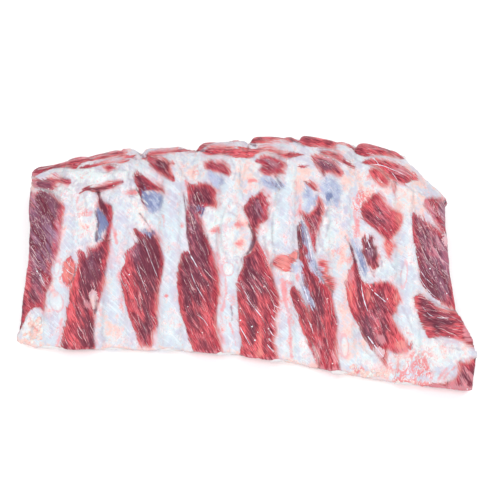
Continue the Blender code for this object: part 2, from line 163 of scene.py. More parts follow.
# ---------------------------------------------------------------- what is drawn on the outer side
# Outlines and lines are given in pixels, as x, y, x, y and so on.
#
# Lean meat: name, slope of its fibres in degrees down from the right, outline.
LEAN = {
    "bay_0": (56, (20, 193, 33, 193, 38, 190, 45, 190, 53, 195, 64, 205, 64, 213, 63, 221, 61, 233, 59, 246,
        58, 253, 54, 261, 51, 270, 52, 281, 48, 289, 45, 298, 44, 310, 39, 308, 34, 308, 29, 312, 25, 320,
        22, 330, 14, 330)),
    "corner_streaks": (20, (31, 182, 33, 178, 44, 178, 58, 177, 68, 178, 71, 181, 69, 185, 60, 183, 55, 185,
        56, 189, 50, 191, 42, 188, 35, 187)),
    "lobe_a_upper": (-14, (26, 176, 40, 160, 60, 151, 91, 143, 116, 141, 126, 152, 137, 158, 128, 158,
        116, 157, 103, 159, 89, 161, 80, 165, 75, 169, 63, 168, 48, 170, 37, 175)),
    "lobe_a_lower": (-10, (77, 169, 84, 165, 94, 163, 110, 161, 129, 160, 123, 163, 111, 163, 97, 166,
        88, 168)),
    "lobe_a_spot": (20, (103, 166, 107, 164, 112, 165, 116, 168, 112, 169, 108, 171, 105, 169)),
    "lobe_a_strip": (-12, (79, 194, 82, 189, 88, 186, 102, 185, 113, 181, 123, 180, 123, 183, 113, 187,
        104, 190, 94, 192, 86, 191)),
    "bay_1_strip": (70, (97, 190, 99, 191, 101, 200, 111, 205, 113, 212, 112, 221, 110, 233, 109, 246,
        101, 246, 103, 238, 106, 225, 103, 215, 99, 209, 98, 200)),
    "bay_1": (68, (77, 250, 84, 252, 87, 257, 89, 247, 94, 248, 102, 240, 110, 240, 109, 252, 107, 262,
        105, 277, 103, 289, 101, 297, 97, 308, 94, 313, 95, 321, 94, 335, 93, 352, 62, 352, 63, 335,
        65, 325, 66, 313, 69, 302, 70, 286, 75, 274, 78, 259)),
    "bay_2_wedge": (48, (134, 176, 138, 173, 146, 177, 157, 184, 163, 188, 165, 194, 160, 192, 152, 191,
        145, 191, 142, 195, 144, 202, 147, 209, 145, 211, 141, 201, 138, 191, 135, 182)),
    "rib_2_spot": (10, (128, 192, 132, 190, 138, 191, 139, 194, 134, 197, 129, 195)),
    "bay_2": (67, (134, 227, 141, 232, 152, 230, 158, 237, 161, 247, 164, 260, 163, 272, 160, 286, 158, 299,
        157, 312, 158, 325, 154, 333, 152, 347, 143, 346, 138, 340, 135, 331, 130, 320, 126, 306, 123, 296,
        121, 286, 120, 274, 123, 266, 126, 260, 125, 252, 132, 247, 136, 241, 133, 233)),
    "bay_2_top": (42, (146, 155, 152, 154, 160, 156, 168, 160, 175, 163, 171, 166, 172, 172, 175, 177,
        174, 182, 166, 178, 158, 173, 151, 166)),
    "lobe_b": (-4, (143, 158, 150, 152, 158, 150, 170, 149, 183, 148, 196, 148, 197, 151, 184, 152,
        170, 153, 156, 155, 149, 157)),
    "lobe_c": (-16, (195, 150, 197, 139, 204, 131, 215, 128, 240, 130, 240, 141, 222, 141, 211, 144,
        205, 147, 200, 150)),
    "under_band": (4, (202, 152, 206, 148, 213, 145, 228, 146, 248, 147, 260, 146, 272, 147, 282, 151,
        297, 152, 302, 155, 291, 158, 280, 156, 268, 151, 257, 153, 251, 157, 236, 157, 223, 155,
        211, 155)),
    "lobe_d": (6, (246, 141, 249, 132, 257, 126, 270, 126, 284, 128, 298, 133, 293, 142, 282, 140, 271, 142,
        260, 143, 251, 143)),
    "lobe_e": (14, (295, 139, 303, 127, 318, 127, 332, 129, 345, 134, 357, 148, 350, 148, 344, 144,
        338, 144, 332, 148, 319, 147, 308, 146, 300, 143)),
    "lobe_e_lower": (24, (319, 150, 325, 149, 334, 151, 343, 157, 352, 163, 356, 168, 348, 166, 338, 161,
        330, 157, 323, 154)),
    "lobe_f": (22, (353, 149, 361, 136, 377, 134, 390, 138, 401, 148, 406, 159, 389, 157, 378, 156,
        368, 157, 360, 155)),
    "lobe_f_lower": (34, (361, 162, 367, 159, 373, 158, 384, 159, 400, 164, 413, 172, 421, 178, 413, 181,
        404, 184, 394, 181, 386, 175, 376, 167, 368, 165)),
    "bay_3": (63, (188, 182, 192, 184, 199, 183, 204, 182, 211, 185, 217, 191, 216, 198, 217, 205, 211, 208,
        206, 207, 204, 214, 200, 215, 202, 224, 206, 232, 210, 243, 214, 254, 215, 263, 219, 275, 220, 289,
        219, 300, 217, 311, 217, 323, 218, 334, 221, 344, 220, 358, 197, 356, 191, 344, 187, 333, 184, 323,
        180, 312, 178, 298, 177, 283, 178, 270, 180, 260, 182, 253, 187, 251, 189, 246, 187, 234, 186, 222,
        186, 213, 187, 203, 187, 194, 187, 187)),
    "bay_3_top": (46, (204, 164, 206, 161, 211, 159, 216, 162, 222, 161, 228, 165, 231, 171, 230, 177,
        225, 175, 218, 172, 212, 172, 206, 169)),
    "bay_4_upper": (60, (250, 197, 257, 194, 262, 189, 265, 194, 269, 196, 267, 200, 271, 204, 268, 208,
        269, 217, 265, 222, 260, 225, 258, 231, 256, 240, 252, 240, 253, 234, 249, 225, 246, 216, 243, 208,
        248, 202)),
    "bay_4": (60, (256, 237, 259, 241, 264, 251, 269, 263, 273, 275, 277, 289, 280, 298, 279, 310, 275, 319,
        277, 330, 274, 341, 277, 350, 276, 366, 243, 364, 241, 341, 239, 326, 238, 306, 237, 291, 239, 274,
        243, 265, 243, 257, 250, 252, 253, 246)),
    "bay_4_top": (42, (255, 161, 263, 155, 271, 155, 279, 159, 286, 162, 288, 167, 283, 168, 285, 174,
        277, 174, 271, 176, 264, 175, 259, 170, 261, 165)),
    "rib_5_patch": (30, (271, 264, 275, 257, 282, 254, 289, 255, 294, 251, 298, 252, 297, 259, 293, 264,
        291, 270, 285, 272, 278, 269)),
    "bay_5_upper": (66, (300, 212, 305, 213, 310, 212, 315, 205, 317, 197, 321, 198, 324, 204, 324, 213,
        321, 222, 318, 234, 316, 246, 317, 256, 313, 250, 310, 238, 306, 226, 302, 219)),
    "bay_5_strip": (72, (298, 224, 302, 222, 305, 231, 309, 246, 312, 258, 317, 271, 324, 281, 331, 289,
        333, 300, 336, 312, 338, 322, 337, 340, 338, 355, 340, 376, 320, 372, 318, 356, 314, 346, 309, 336,
        308, 320, 307, 304, 303, 290, 301, 276, 299, 256, 298, 240)),
    "bay_5": (62, (293, 286, 297, 289, 303, 300, 309, 313, 312, 328, 313, 346, 318, 360, 320, 372, 314, 358,
        307, 342, 301, 328, 297, 314, 293, 302, 290, 291)),
    "bay_5_ridge": (12, (318, 260, 326, 261, 328, 268, 329, 275, 335, 283, 333, 291, 327, 286, 321, 279,
        317, 272)),
    "bay_5_top": (40, (312, 156, 320, 155, 330, 158, 338, 165, 343, 173, 341, 177, 336, 175, 329, 172,
        324, 176, 318, 169, 314, 163)),
    "rib_5_spot": (48, (303, 180, 308, 181, 314, 184, 319, 191, 313, 190, 308, 186)),
    "rib_5_fleck": (8, (298, 166, 303, 165, 308, 167, 302, 168)),
    "bay_6_oval": (50, (362, 205, 369, 197, 378, 193, 384, 200, 391, 207, 402, 213, 403, 221, 399, 231,
        393, 238, 394, 247, 390, 258, 386, 253, 384, 246, 383, 238, 372, 227, 364, 220, 361, 211)),
    "bay_6_left": (66, (350, 246, 353, 248, 357, 262, 361, 276, 367, 283, 375, 283, 384, 281, 392, 283,
        397, 289, 400, 298, 397, 309, 393, 318, 398, 327, 405, 338, 412, 347, 407, 352, 396, 354, 388, 350,
        387, 363, 385, 366, 380, 359, 370, 347, 362, 335, 357, 324, 350, 310, 346, 290, 347, 277,
        353, 264)),
    "bay_6_hollow": (70, (361, 240, 365, 236, 367, 240, 370, 235, 374, 238, 373, 244, 378, 247, 376, 251,
        380, 256, 378, 260, 379, 266, 376, 269, 373, 275, 371, 268, 367, 265, 366, 259, 362, 253,
        363, 247)),
    "bay_6_top": (46, (369, 170, 374, 167, 381, 169, 387, 175, 390, 182, 388, 187, 381, 185, 375, 180,
        370, 176)),
    "bay_6_fleck": (70, (393, 183, 396, 184, 396, 190, 394, 192)),
    "bay_7_upper": (58, (425, 199, 436, 197, 446, 200, 452, 208, 452, 232, 444, 235, 436, 224, 430, 214,
        425, 206)),
    "bay_7": (62, (412, 214, 418, 215, 426, 220, 435, 226, 444, 233, 454, 242, 456, 266, 460, 309, 447, 307,
        436, 301, 425, 291, 419, 279, 417, 263, 414, 246)),
    "bay_7_lower": (10, (414, 297, 421, 295, 429, 300, 441, 308, 456, 311, 470, 316, 480, 345, 470, 346,
        461, 341, 448, 338, 436, 337, 428, 338, 425, 331, 419, 317)),
    "corner_block": (66, (459, 360, 466, 362, 484, 358, 486, 396, 470, 396, 444, 391, 447, 383, 455, 378,
        459, 370)),
    "rib_1_net": (66, (66, 259, 71, 256, 74, 262, 75, 270, 73, 277, 70, 284, 65, 282, 62, 276, 64, 270,
        63, 264)),
    "corner_edge": (20, (424, 386, 436, 384, 447, 382, 453, 391, 440, 391, 428, 389)),
}

# Blue-grey silverskin that shows in the gaps between the bays and the fat.
SILVER = {
    "bay_1_gap": (96, 211, 100, 210, 103, 216, 106, 224, 103, 233, 101, 239, 95, 241, 97, 231, 96, 221),
    "bay_2_gap": (142, 191, 149, 192, 157, 193, 163, 196, 162, 205, 158, 210, 152, 212, 147, 208, 144, 201),
    "bay_2_head": (141, 229, 147, 228, 154, 231, 154, 236, 148, 235),
    "bay_3_top_gap": (209, 173, 216, 174, 223, 178, 224, 184, 217, 186, 211, 181),
    "bay_4_top_gap": (262, 177, 270, 178, 279, 182, 284, 186, 279, 189, 270, 187, 264, 184),
    "bay_5_top_gap": (321, 187, 325, 178, 331, 177, 338, 181, 342, 190, 340, 200, 336, 207, 331, 199,
        327, 205, 324, 196),
    "bay_5_grey": (306, 186, 310, 189, 313, 197, 317, 196, 315, 206, 312, 203, 309, 212, 305, 209, 307, 200,
        304, 196),
    "bay_5_ribbon": (301, 222, 305, 225, 309, 240, 312, 252, 317, 264, 324, 277, 321, 281, 314, 272,
        309, 262, 306, 248, 303, 236),
    "bay_5_lower_ribbon": (299, 262, 302, 266, 304, 280, 308, 292, 313, 304, 312, 309, 307, 300, 302, 288,
        300, 276),
    "bay_6_lilac": (352, 240, 356, 244, 360, 252, 364, 262, 367, 272, 366, 279, 363, 275, 359, 262,
        355, 252),
    "bay_3_notch": (199, 209, 203, 208, 206, 210, 205, 215, 201, 216),
    "rib_5_corner": (294, 265, 298, 264, 300, 268, 297, 272, 294, 270),
}

# Thick cream fat whose torn edges lie over the lean meat.
FAT = {
    "lobe_a_fat": (32, 178, 44, 176, 62, 172, 76, 171, 92, 169, 100, 170, 104, 173, 112, 173, 118, 170,
        122, 165, 130, 162, 139, 160, 141, 168, 134, 174, 124, 176, 110, 178, 96, 181, 84, 184, 78, 190,
        73, 189, 72, 180, 60, 176, 44, 177),
    "bay_0_head": (53, 191, 58, 187, 66, 188, 72, 194, 71, 203, 64, 201, 57, 197),
    "bay_1_flap": (79, 196, 87, 192, 95, 194, 98, 199, 97, 206, 95, 214, 97, 222, 96, 232, 94, 240, 90, 246,
        86, 243, 82, 246, 78, 245, 77, 230, 78, 215, 77, 203),
    "bay_1_head": (103, 194, 108, 191, 113, 195, 113, 201, 110, 205, 105, 201),
    "bay_2_flap": (127, 178, 133, 181, 138, 190, 142, 201, 147, 211, 152, 222, 154, 230, 147, 230, 140, 229,
        134, 222, 131, 213, 127, 204, 126, 191),
    "bay_1_tongue": (90, 297, 93, 290, 95, 292, 97, 300, 98, 309, 95, 313, 92, 307),
    "rib_4_pad": (226, 207, 233, 203, 240, 205, 246, 214, 250, 224, 251, 236, 250, 250, 243, 256, 238, 270,
        231, 268, 226, 258, 222, 245, 221, 228),
    "bay_3_fat": (205, 208, 212, 207, 217, 212, 219, 222, 214, 230, 209, 236, 204, 230, 202, 218),
    "bay_4_fat": (262, 226, 268, 218, 272, 206, 276, 212, 276, 232, 273, 250, 268, 252, 262, 240, 258, 234),
    "bay_5_fat": (318, 236, 321, 226, 325, 214, 330, 206, 334, 210, 334, 225, 338, 240, 334, 252, 325, 258,
        317, 256, 316, 246),
    "bay_6_bridge": (366, 276, 371, 272, 377, 269, 383, 262, 390, 262, 394, 271, 386, 275, 376, 276,
        370, 280),
    "bay_6_tongue": (375, 349, 380, 348, 384, 353, 384, 359, 380, 359, 377, 355),
    "bay_7_edge": (442, 236, 445, 233, 446, 238, 446, 245, 443, 244),
    "bay_7_rim": (414, 244, 417, 262, 420, 280, 427, 291, 437, 299, 441, 302, 440, 305, 436, 304, 426, 297,
        417, 288, 413, 268),
    "right_flap": (412, 342, 420, 337, 432, 339, 447, 340, 462, 344, 474, 350, 480, 357, 462, 359, 456, 366,
        452, 378, 440, 376, 424, 368, 413, 354),
    "left_corner": (15, 345, 20, 330, 27, 318, 33, 312, 38, 316, 42, 326, 42, 336, 38, 346, 28, 350),
}

# Ovals outlined in pink: middle, half width, half height, tilt in degrees.
OVALS = {
    "rib_1_pale": (56, 301, 6.5, 10.5, -14),
    "rib_1_small": (57, 268, 3, 6.5, 6),
    "rib_4": (228, 269, 5.5, 6.5, -20),
    "rib_6": (344.5, 346, 3.6, 11, -4),
    "rib_7": (404, 275, 3, 12, 6),
}

# Soft spots: (x, y, half width, half height, strength).
SPOTS = {
    # Blood spots and meat at the surface.
    "red": (
        (115, 235, 2, 8, 0.9), (182, 225, 4, 3, 0.9), (166, 296, 2.4, 1.6, 1.3), (239, 225.5, 8, 4.2, 1.2),
        (240, 244, 7, 3.4, 1.05), (297, 278, 2.5, 5, 1), (284, 285, 3, 8, 0.5), (356, 231, 3.5, 14, 0.8),
        (304, 213, 5, 5, 0.8), (219, 229, 2.2, 6, 0.7), (212, 231, 3, 2.4, 0.6), (295, 251, 3, 4, 0.7),
        (225, 285, 2, 8, 0.6), (284, 295, 3, 14, 1), (291, 315, 4, 22, 0.6), (336, 250, 7, 5, 0.7),
        (133, 193.5, 6.5, 3.2, 1.6), (216, 230, 5, 4, 0.9), (252, 180.5, 7, 2.4, 1.3),
        (449, 377, 4, 6, 0.55), (454, 391, 14, 2.4, 1), (415, 386, 14, 2.4, 0.7), (291, 284, 5, 4, 0.9),
        (56, 295, 5, 5, 1.1), (197, 172, 3, 4, 0.7), (187, 184, 3.5, 7, 1.2), (233, 300, 5, 18, 0.5),
        (299, 208, 3, 10, 0.7), (59, 318, 3, 10, 0.3), (338, 200, 3, 3, 0.6), (322, 191, 4, 3, 0.6),
        (356, 196, 5, 6, 0.7), (358, 220, 3, 14, 0.6), (352, 262, 2.4, 14, 0.7), (369, 176, 4, 4, 0.7),
        (74, 262, 3, 8, 0.5), (62, 330, 3, 10, 0.5), (119, 275, 3, 12, 0.7), (122, 300, 3, 16, 0.6),
        (95, 320, 2, 20, 0.4), (142, 345, 6, 3, 0.7), (222, 310, 3, 22, 0.5), (290, 345, 3, 16, 0.6),
        (413, 296, 3, 5, 0.6), (30, 340, 5, 4, 0.7), (344, 262, 6, 8, 0.4), (345, 315, 5, 24, 0.3),
        (130, 345, 10, 3, 0.3), (300, 260, 2, 18, 0.4), (80, 178, 6, 3, 0.4), (276, 255, 4, 4, 0.5),
        (424, 215, 3, 10, 0.5), (428, 190, 6, 5, 0.5),
    ),
    # A net of red curls.
    "speckled": (
        (68, 272, 8, 15, 1.2), (87, 213, 6, 5, 0.6), (358, 212, 6, 20, 0.6), (363, 195, 8, 6, 1),
        (85, 232, 5, 8, 0.45), (420, 366, 14, 18, 0.9), (358, 370, 12, 6, 0.9), (402, 380, 8, 8, 0.9),
        (36, 328, 7, 10, 0.5), (310, 184, 7, 5, 0.6), (428, 388, 18, 6, 0.8), (450, 390, 14, 5, 0.8),
        (395, 372, 8, 14, 0.5),
    ),
    # Pinkish fat, and paler lean meat.
    "warm": (
        (88, 157, 50, 5, 0.4), (52, 180, 20, 8, 0.6), (466, 378, 14, 16, 0.9), (372, 244, 8, 16, 0.3),
        (434, 262, 14, 44, 0.35), (378, 330, 12, 20, 0.35), (282, 262, 12, 11, 0.9), (296, 254, 5, 5, 0.8),
        (404, 346, 7, 7, 1), (452, 383, 5, 4, 0.8), (381, 340, 5, 6, 1), (88, 303, 5, 8, 0.9),
        (455, 270, 4, 40, 0.7), (60, 225, 4, 30, 0.6), (440, 212, 14, 14, 0.5), (53, 235, 5, 16, 0.5),
        (33, 190, 4, 22, 1.3), (50, 288, 5, 14, 0.6), (436, 387, 12, 3.5, 0.6), (134, 252, 6, 12, 0.4),
        (275, 325, 5, 20, 0.7), (402, 172, 16, 9, 0.9), (328, 158, 16, 8, 0.9), (150, 148, 50, 4, 0.7),
        (274, 166, 10, 6, 0.6), (346, 325, 8, 28, 0.9), (244, 228, 5, 16, 0.7), (318, 352, 5, 16, 1),
        (334, 355, 4, 14, 0.9), (440, 245, 8, 14, 0.5), (239, 225, 10, 6, 0.6), (241, 243, 9, 6, 0.6),
        (384, 214, 14, 16, 0.45), (350, 277, 5, 8, 0.9), (356, 235, 6, 20, 0.6), (365, 195, 8, 8, 1),
        (388, 186, 10, 6, 0.8), (26, 275, 3, 30, 0.9), (36, 328, 9, 9, 0.8), (95, 303, 5, 8, 0.9),
        (189, 171, 12, 10, 1), (246, 178, 14, 16, 1), (299, 190, 7, 16, 0.9), (306, 173, 9, 9, 0.9),
        (352, 179, 13, 14, 1), (420, 183, 8, 5, 0.9), (376, 373, 18, 6, 0.9), (440, 352, 26, 12, 0.45),
        (112, 330, 13, 14, 0.9), (86, 215, 9, 20, 0.5), (235, 235, 12, 20, 0.45), (137, 205, 9, 22, 0.4),
        (330, 255, 12, 8, 0.6), (420, 290, 8, 30, 0.4), (24, 342, 8, 8, 0.5), (402, 200, 18, 12, 0.4),
        (208, 180, 8, 6, 0.3), (145, 345, 10, 6, 0.5), (436, 190, 16, 8, 0.5), (170, 320, 10, 14, 0.25),
        (300, 352, 12, 14, 0.4), (60, 230, 14, 8, 0.3), (362, 345, 10, 12, 0.5), (468, 332, 7, 14, 1.3),
        (342, 262, 8, 50, 0.55), (108, 290, 8, 30, 0.3), (400, 250, 8, 40, 0.25), (418, 205, 12, 14, 0.7),
        (420, 232, 6, 16, 0.5), (452, 200, 8, 20, 0.7), (318, 215, 14, 4, 0.2), (350, 355, 10, 10, 0.4),
        (400, 360, 20, 12, 0.5),
    ),
    # Thick fat.
    "cream": (
        (86, 218, 14, 34, 0.9), (90, 175, 40, 10, 0.9), (140, 206, 14, 32, 0.9), (235, 236, 18, 36, 0.9),
        (188, 170, 22, 16, 0.6), (246, 172, 26, 20, 0.7), (212, 220, 12, 18, 0.9), (270, 232, 12, 28, 0.8),
        (300, 178, 20, 22, 0.7), (328, 232, 16, 30, 0.8), (352, 184, 20, 22, 0.7), (402, 200, 26, 18, 0.8),
        (440, 352, 40, 16, 1), (370, 362, 30, 16, 0.7), (26, 336, 14, 18, 0.7), (37, 327, 8, 10, 1),
        (60, 190, 18, 10, 0.8), (112, 335, 14, 16, 0.6), (170, 330, 12, 20, 0.5), (298, 350, 16, 22, 0.7),
        (290, 270, 14, 14, 0.6), (385, 268, 16, 12, 0.7), (412, 250, 6, 50, 0.5), (430, 385, 30, 8, 0.6),
        (118, 205, 8, 24, 0.3), (412, 320, 8, 30, 0.5), (228, 300, 8, 40, 0.2),
    ),
    # Bone that shows through the membrane.
    "lilac": (
        (122, 212, 8, 20, 1.2), (68, 212, 8, 18, 1), (232, 300, 6, 20, 0.7), (172, 205, 8, 22, 0.9),
        (226, 232, 4, 22, 0.5), (286, 232, 9, 26, 0.7), (342, 225, 8, 30, 1), (402, 258, 8, 30, 0.8),
        (52, 330, 9, 16, 0.5), (160, 345, 6, 10, 0.5), (230, 330, 8, 24, 0.5), (284, 340, 6, 24, 0.6),
        (330, 207, 14, 8, 1.5), (388, 360, 12, 8, 0.7), (228, 240, 6, 14, 0.5), (344, 300, 6, 30, 0.7),
        (108, 290, 8, 30, 0.5), (172, 280, 8, 26, 0.4), (405, 330, 7, 14, 0.7), (62, 222, 6, 10, 0.4),
        (386, 352, 14, 6, 0.4),
    ),
    # Brighter (+) and darker (-) lean meat and silverskin.
    "tone": (
        (101, 224, 5, 18, -1.3), (68, 270, 9, 15, 2.8), (329, 197, 3, 4, -1.8), (400, 220, 6, 12, 1.6),
        (380, 176, 8, 8, 1.4), (332, 188, 10, 12, 0.8), (311, 200, 7, 13, 0.5), (217, 180, 8, 7, 0.3),
        (170, 144, 26, 6, 0.9), (215, 137, 20, 6, 0.8), (268, 134, 26, 7, 0.9), (380, 142, 24, 7, 0.7),
        (78, 335, 13, 18, 0.9), (131, 300, 6, 20, 0.6), (208, 330, 9, 18, 1.2), (260, 338, 5, 24, 2.1),
        (396, 298, 6, 13, 2), (372, 300, 6, 12, 0.9), (386, 300, 8, 14, 0.5), (61, 245, 4, 34, 0.6),
        (303, 330, 7, 24, 0.7), (392, 217, 10, 16, 1.2), (326, 272, 9, 14, 2.2), (392, 338, 12, 12, 0.4),
        (284, 263, 15, 14, 2.6), (350, 285, 4, 22, 1), (200, 190, 14, 8, 0.3), (240, 152, 40, 6, 1.2),
        (88, 156, 60, 10, 0.8), (326, 345, 8, 30, 0.3), (28, 240, 6, 60, 0.9), (466, 378, 14, 16, 0.6),
        (155, 330, 5, 20, 0.5), (326, 138, 24, 8, 1), (454, 260, 5, 50, 1), (296, 254, 5, 5, 2),
        (385, 160, 30, 14, 0.9), (312, 220, 10, 14, 0.5), (220, 300, 6, 40, 0.4), (42, 235, 9, 30, -1.2),
        (92, 270, 8, 18, -1.3), (92, 335, 3.5, 14, -3), (146, 262, 9, 20, -1.4), (185, 285, 6, 26, -0.6),
        (372, 246, 6, 14, -1.2), (440, 320, 12, 9, -0.3), (300, 240, 4, 18, -0.8), (245, 275, 6, 20, -0.4),
        (245, 330, 5, 20, -0.4), (205, 258, 8, 16, -0.5), (430, 285, 10, 14, -0.5), (105, 220, 5, 24, -0.6),
        (187, 225, 4, 24, -0.8), (372, 322, 7, 14, 0.8), (72, 305, 6, 28, 1.2), (130, 275, 6, 26, 1.3),
        (181, 310, 6, 34, 0.9), (244, 325, 7, 34, 1.5), (262, 303, 6, 9, 0.9), (351, 300, 6, 28, 1.3),
        (367, 293, 6, 14, 1.8), (366, 336, 6, 12, -0.8), (334, 362, 5, 10, 1.6), (258, 354, 16, 5, 1.2),
        (53, 235, 5, 14, 0.8), (185, 196, 5, 12, 1.4), (415, 178, 10, 7, 1.6), (370, 205, 7, 7, 0.9),
        (388, 248, 7, 10, 2.4), (417, 300, 4, 14, 1), (430, 328, 6, 8, 0.9), (462, 332, 8, 12, 1),
        (192, 340, 8, 14, 1), (402, 345, 9, 7, 2.6), (143, 196, 5, 16, -1), (436, 292, 8, 8, -1.2),
        (361, 265, 6, 14, -0.9), (309, 245, 5, 26, 0.3), (305, 284, 5, 22, 0.2), (204, 300, 6, 12, 0.9),
        (143, 298, 5, 16, 0.6), (140, 320, 5, 10, 0.5), (330, 312, 5, 14, 0.8), (318, 338, 5, 8, 0.7),
        (27, 282, 4, 24, 1.2), (378, 330, 5, 14, 0.9), (138, 295, 6, 20, 0.5), (257, 268, 6, 14, 0.6),
        (268, 300, 6, 14, 0.6), (326, 322, 7, 16, 0.5), (462, 376, 6, 10, -1.2), (203, 215, 6, 30, -0.5),
        (85, 333, 5, 14, -0.4), (42, 222, 8, 14, -1.6), (48, 199, 12, 7, -1.6), (152, 258, 8, 20, -1.5),
        (150, 322, 6, 16, -0.9), (152, 190, 8, 6, -0.8), (158, 164, 10, 6, -0.9), (206, 200, 8, 12, -0.3),
        (206, 245, 7, 18, -0.7), (328, 166, 12, 10, -0.9), (320, 215, 8, 14, -0.7), (103, 205, 5, 20, -1),
        (95, 262, 5, 12, -0.8), (98, 187, 16, 4, -0.8),
    ),
    # Lean meat under a pale film.
    "veiled": (
        (42, 240, 16, 50, 1.1), (40, 222, 5, 12, -0.6), (434, 262, 16, 34, 0.5), (92, 262, 9, 18, 0.4),
        (190, 215, 8, 20, 0.35), (440, 214, 14, 14, 0.8), (314, 240, 5, 18, 0.8), (370, 252, 4, 6, 0.9),
        (374, 322, 8, 20, 0.6), (420, 232, 8, 18, 0.4), (261, 208, 7, 10, 0.8), (53, 235, 6, 18, 0.9),
        (134, 252, 6, 12, 0.6), (190, 225, 5, 20, 0.5), (33, 200, 4, 14, 0.8), (446, 270, 8, 30, 0.5),
        (386, 220, 12, 16, 0.3), (200, 250, 12, 30, 0.2), (255, 270, 10, 26, 0.2), (90, 156, 60, 8, 0.1),
        (266, 165, 12, 10, 0.6), (218, 165, 12, 8, 0.3), (328, 165, 14, 8, 0.4),
    ),
}

# Dark clefts, carved in and painted with shade: half width in mm, then the line.
CLEFTS = (
    (0.5, (96, 211, 98, 222, 97, 232, 96, 241)), (0.5, (184, 192, 186, 208, 187, 225, 189, 240, 191, 250)),
    (1.1, (249, 225, 254, 236, 252, 246, 247, 254)), (0.9, (373, 246, 376, 252, 375, 260, 378, 266)),
    (1.3, (97, 190, 100, 197, 101, 206)), (0.8, (96, 298, 97, 305, 95, 313)),
    (0.6, (298, 226, 299, 240, 300, 258)), (0.4, (139, 152, 143, 157, 148, 160)),
    (0.4, (192, 147, 197, 150, 203, 150)), (0.3, (243, 139, 248, 143, 256, 145)),
    (0.3, (290, 138, 296, 142, 304, 146)), (0.3, (350, 146, 355, 151, 361, 154)),
    (0.4, (231, 306, 232, 314, 232, 320)), (0.4, (140, 214, 146, 222, 152, 231)),
    (0.5, (374, 284, 370, 300, 366, 314, 370, 330, 376, 346)), (0.5, (345, 236, 351, 246, 356, 262)),
    (0.3, (265, 322, 265, 340, 265, 358)), (0.4, (275, 176, 279, 181, 283, 187)),
    (0.4, (270, 178, 274, 184, 279, 190)),
)

# Pink and red lines in the membrane and the fat: half width in mm, then the line.
VEINS = (
    (0.9, (111, 224, 114, 232, 117, 243)), (0.7, (163, 216, 164, 221, 164, 226)),
    (0.8, (62, 319, 60, 328, 60, 336, 57, 346)), (0.7, (217, 252, 222, 266, 226, 280, 226, 293, 222, 311)),
    (1.2, (282, 280, 285, 298, 288, 311)), (0.6, (288, 311, 290, 334, 292, 358)),
    (0.6, (80, 210, 83, 209, 87, 211)), (0.6, (80, 214, 85, 216, 90, 216)),
    (0.5, (84, 212, 88, 214, 92, 213)), (0.5, (82, 190, 78, 196, 77, 204, 78, 212)),
    (0.5, (444, 379, 449, 372, 456, 366)), (0.6, (438, 381, 441, 375, 447, 368)),
    (1.6, (400, 384, 420, 387, 440, 389, 462, 391)), (0.6, (296, 216, 300, 208, 301, 200)),
    (0.6, (356, 200, 354, 212, 357, 226, 360, 236)), (0.6, (390, 368, 400, 372, 410, 370, 416, 376)),
    (0.5, (228, 320, 232, 330, 236, 345)), (0.5, (296, 296, 300, 312, 306, 330)),
)

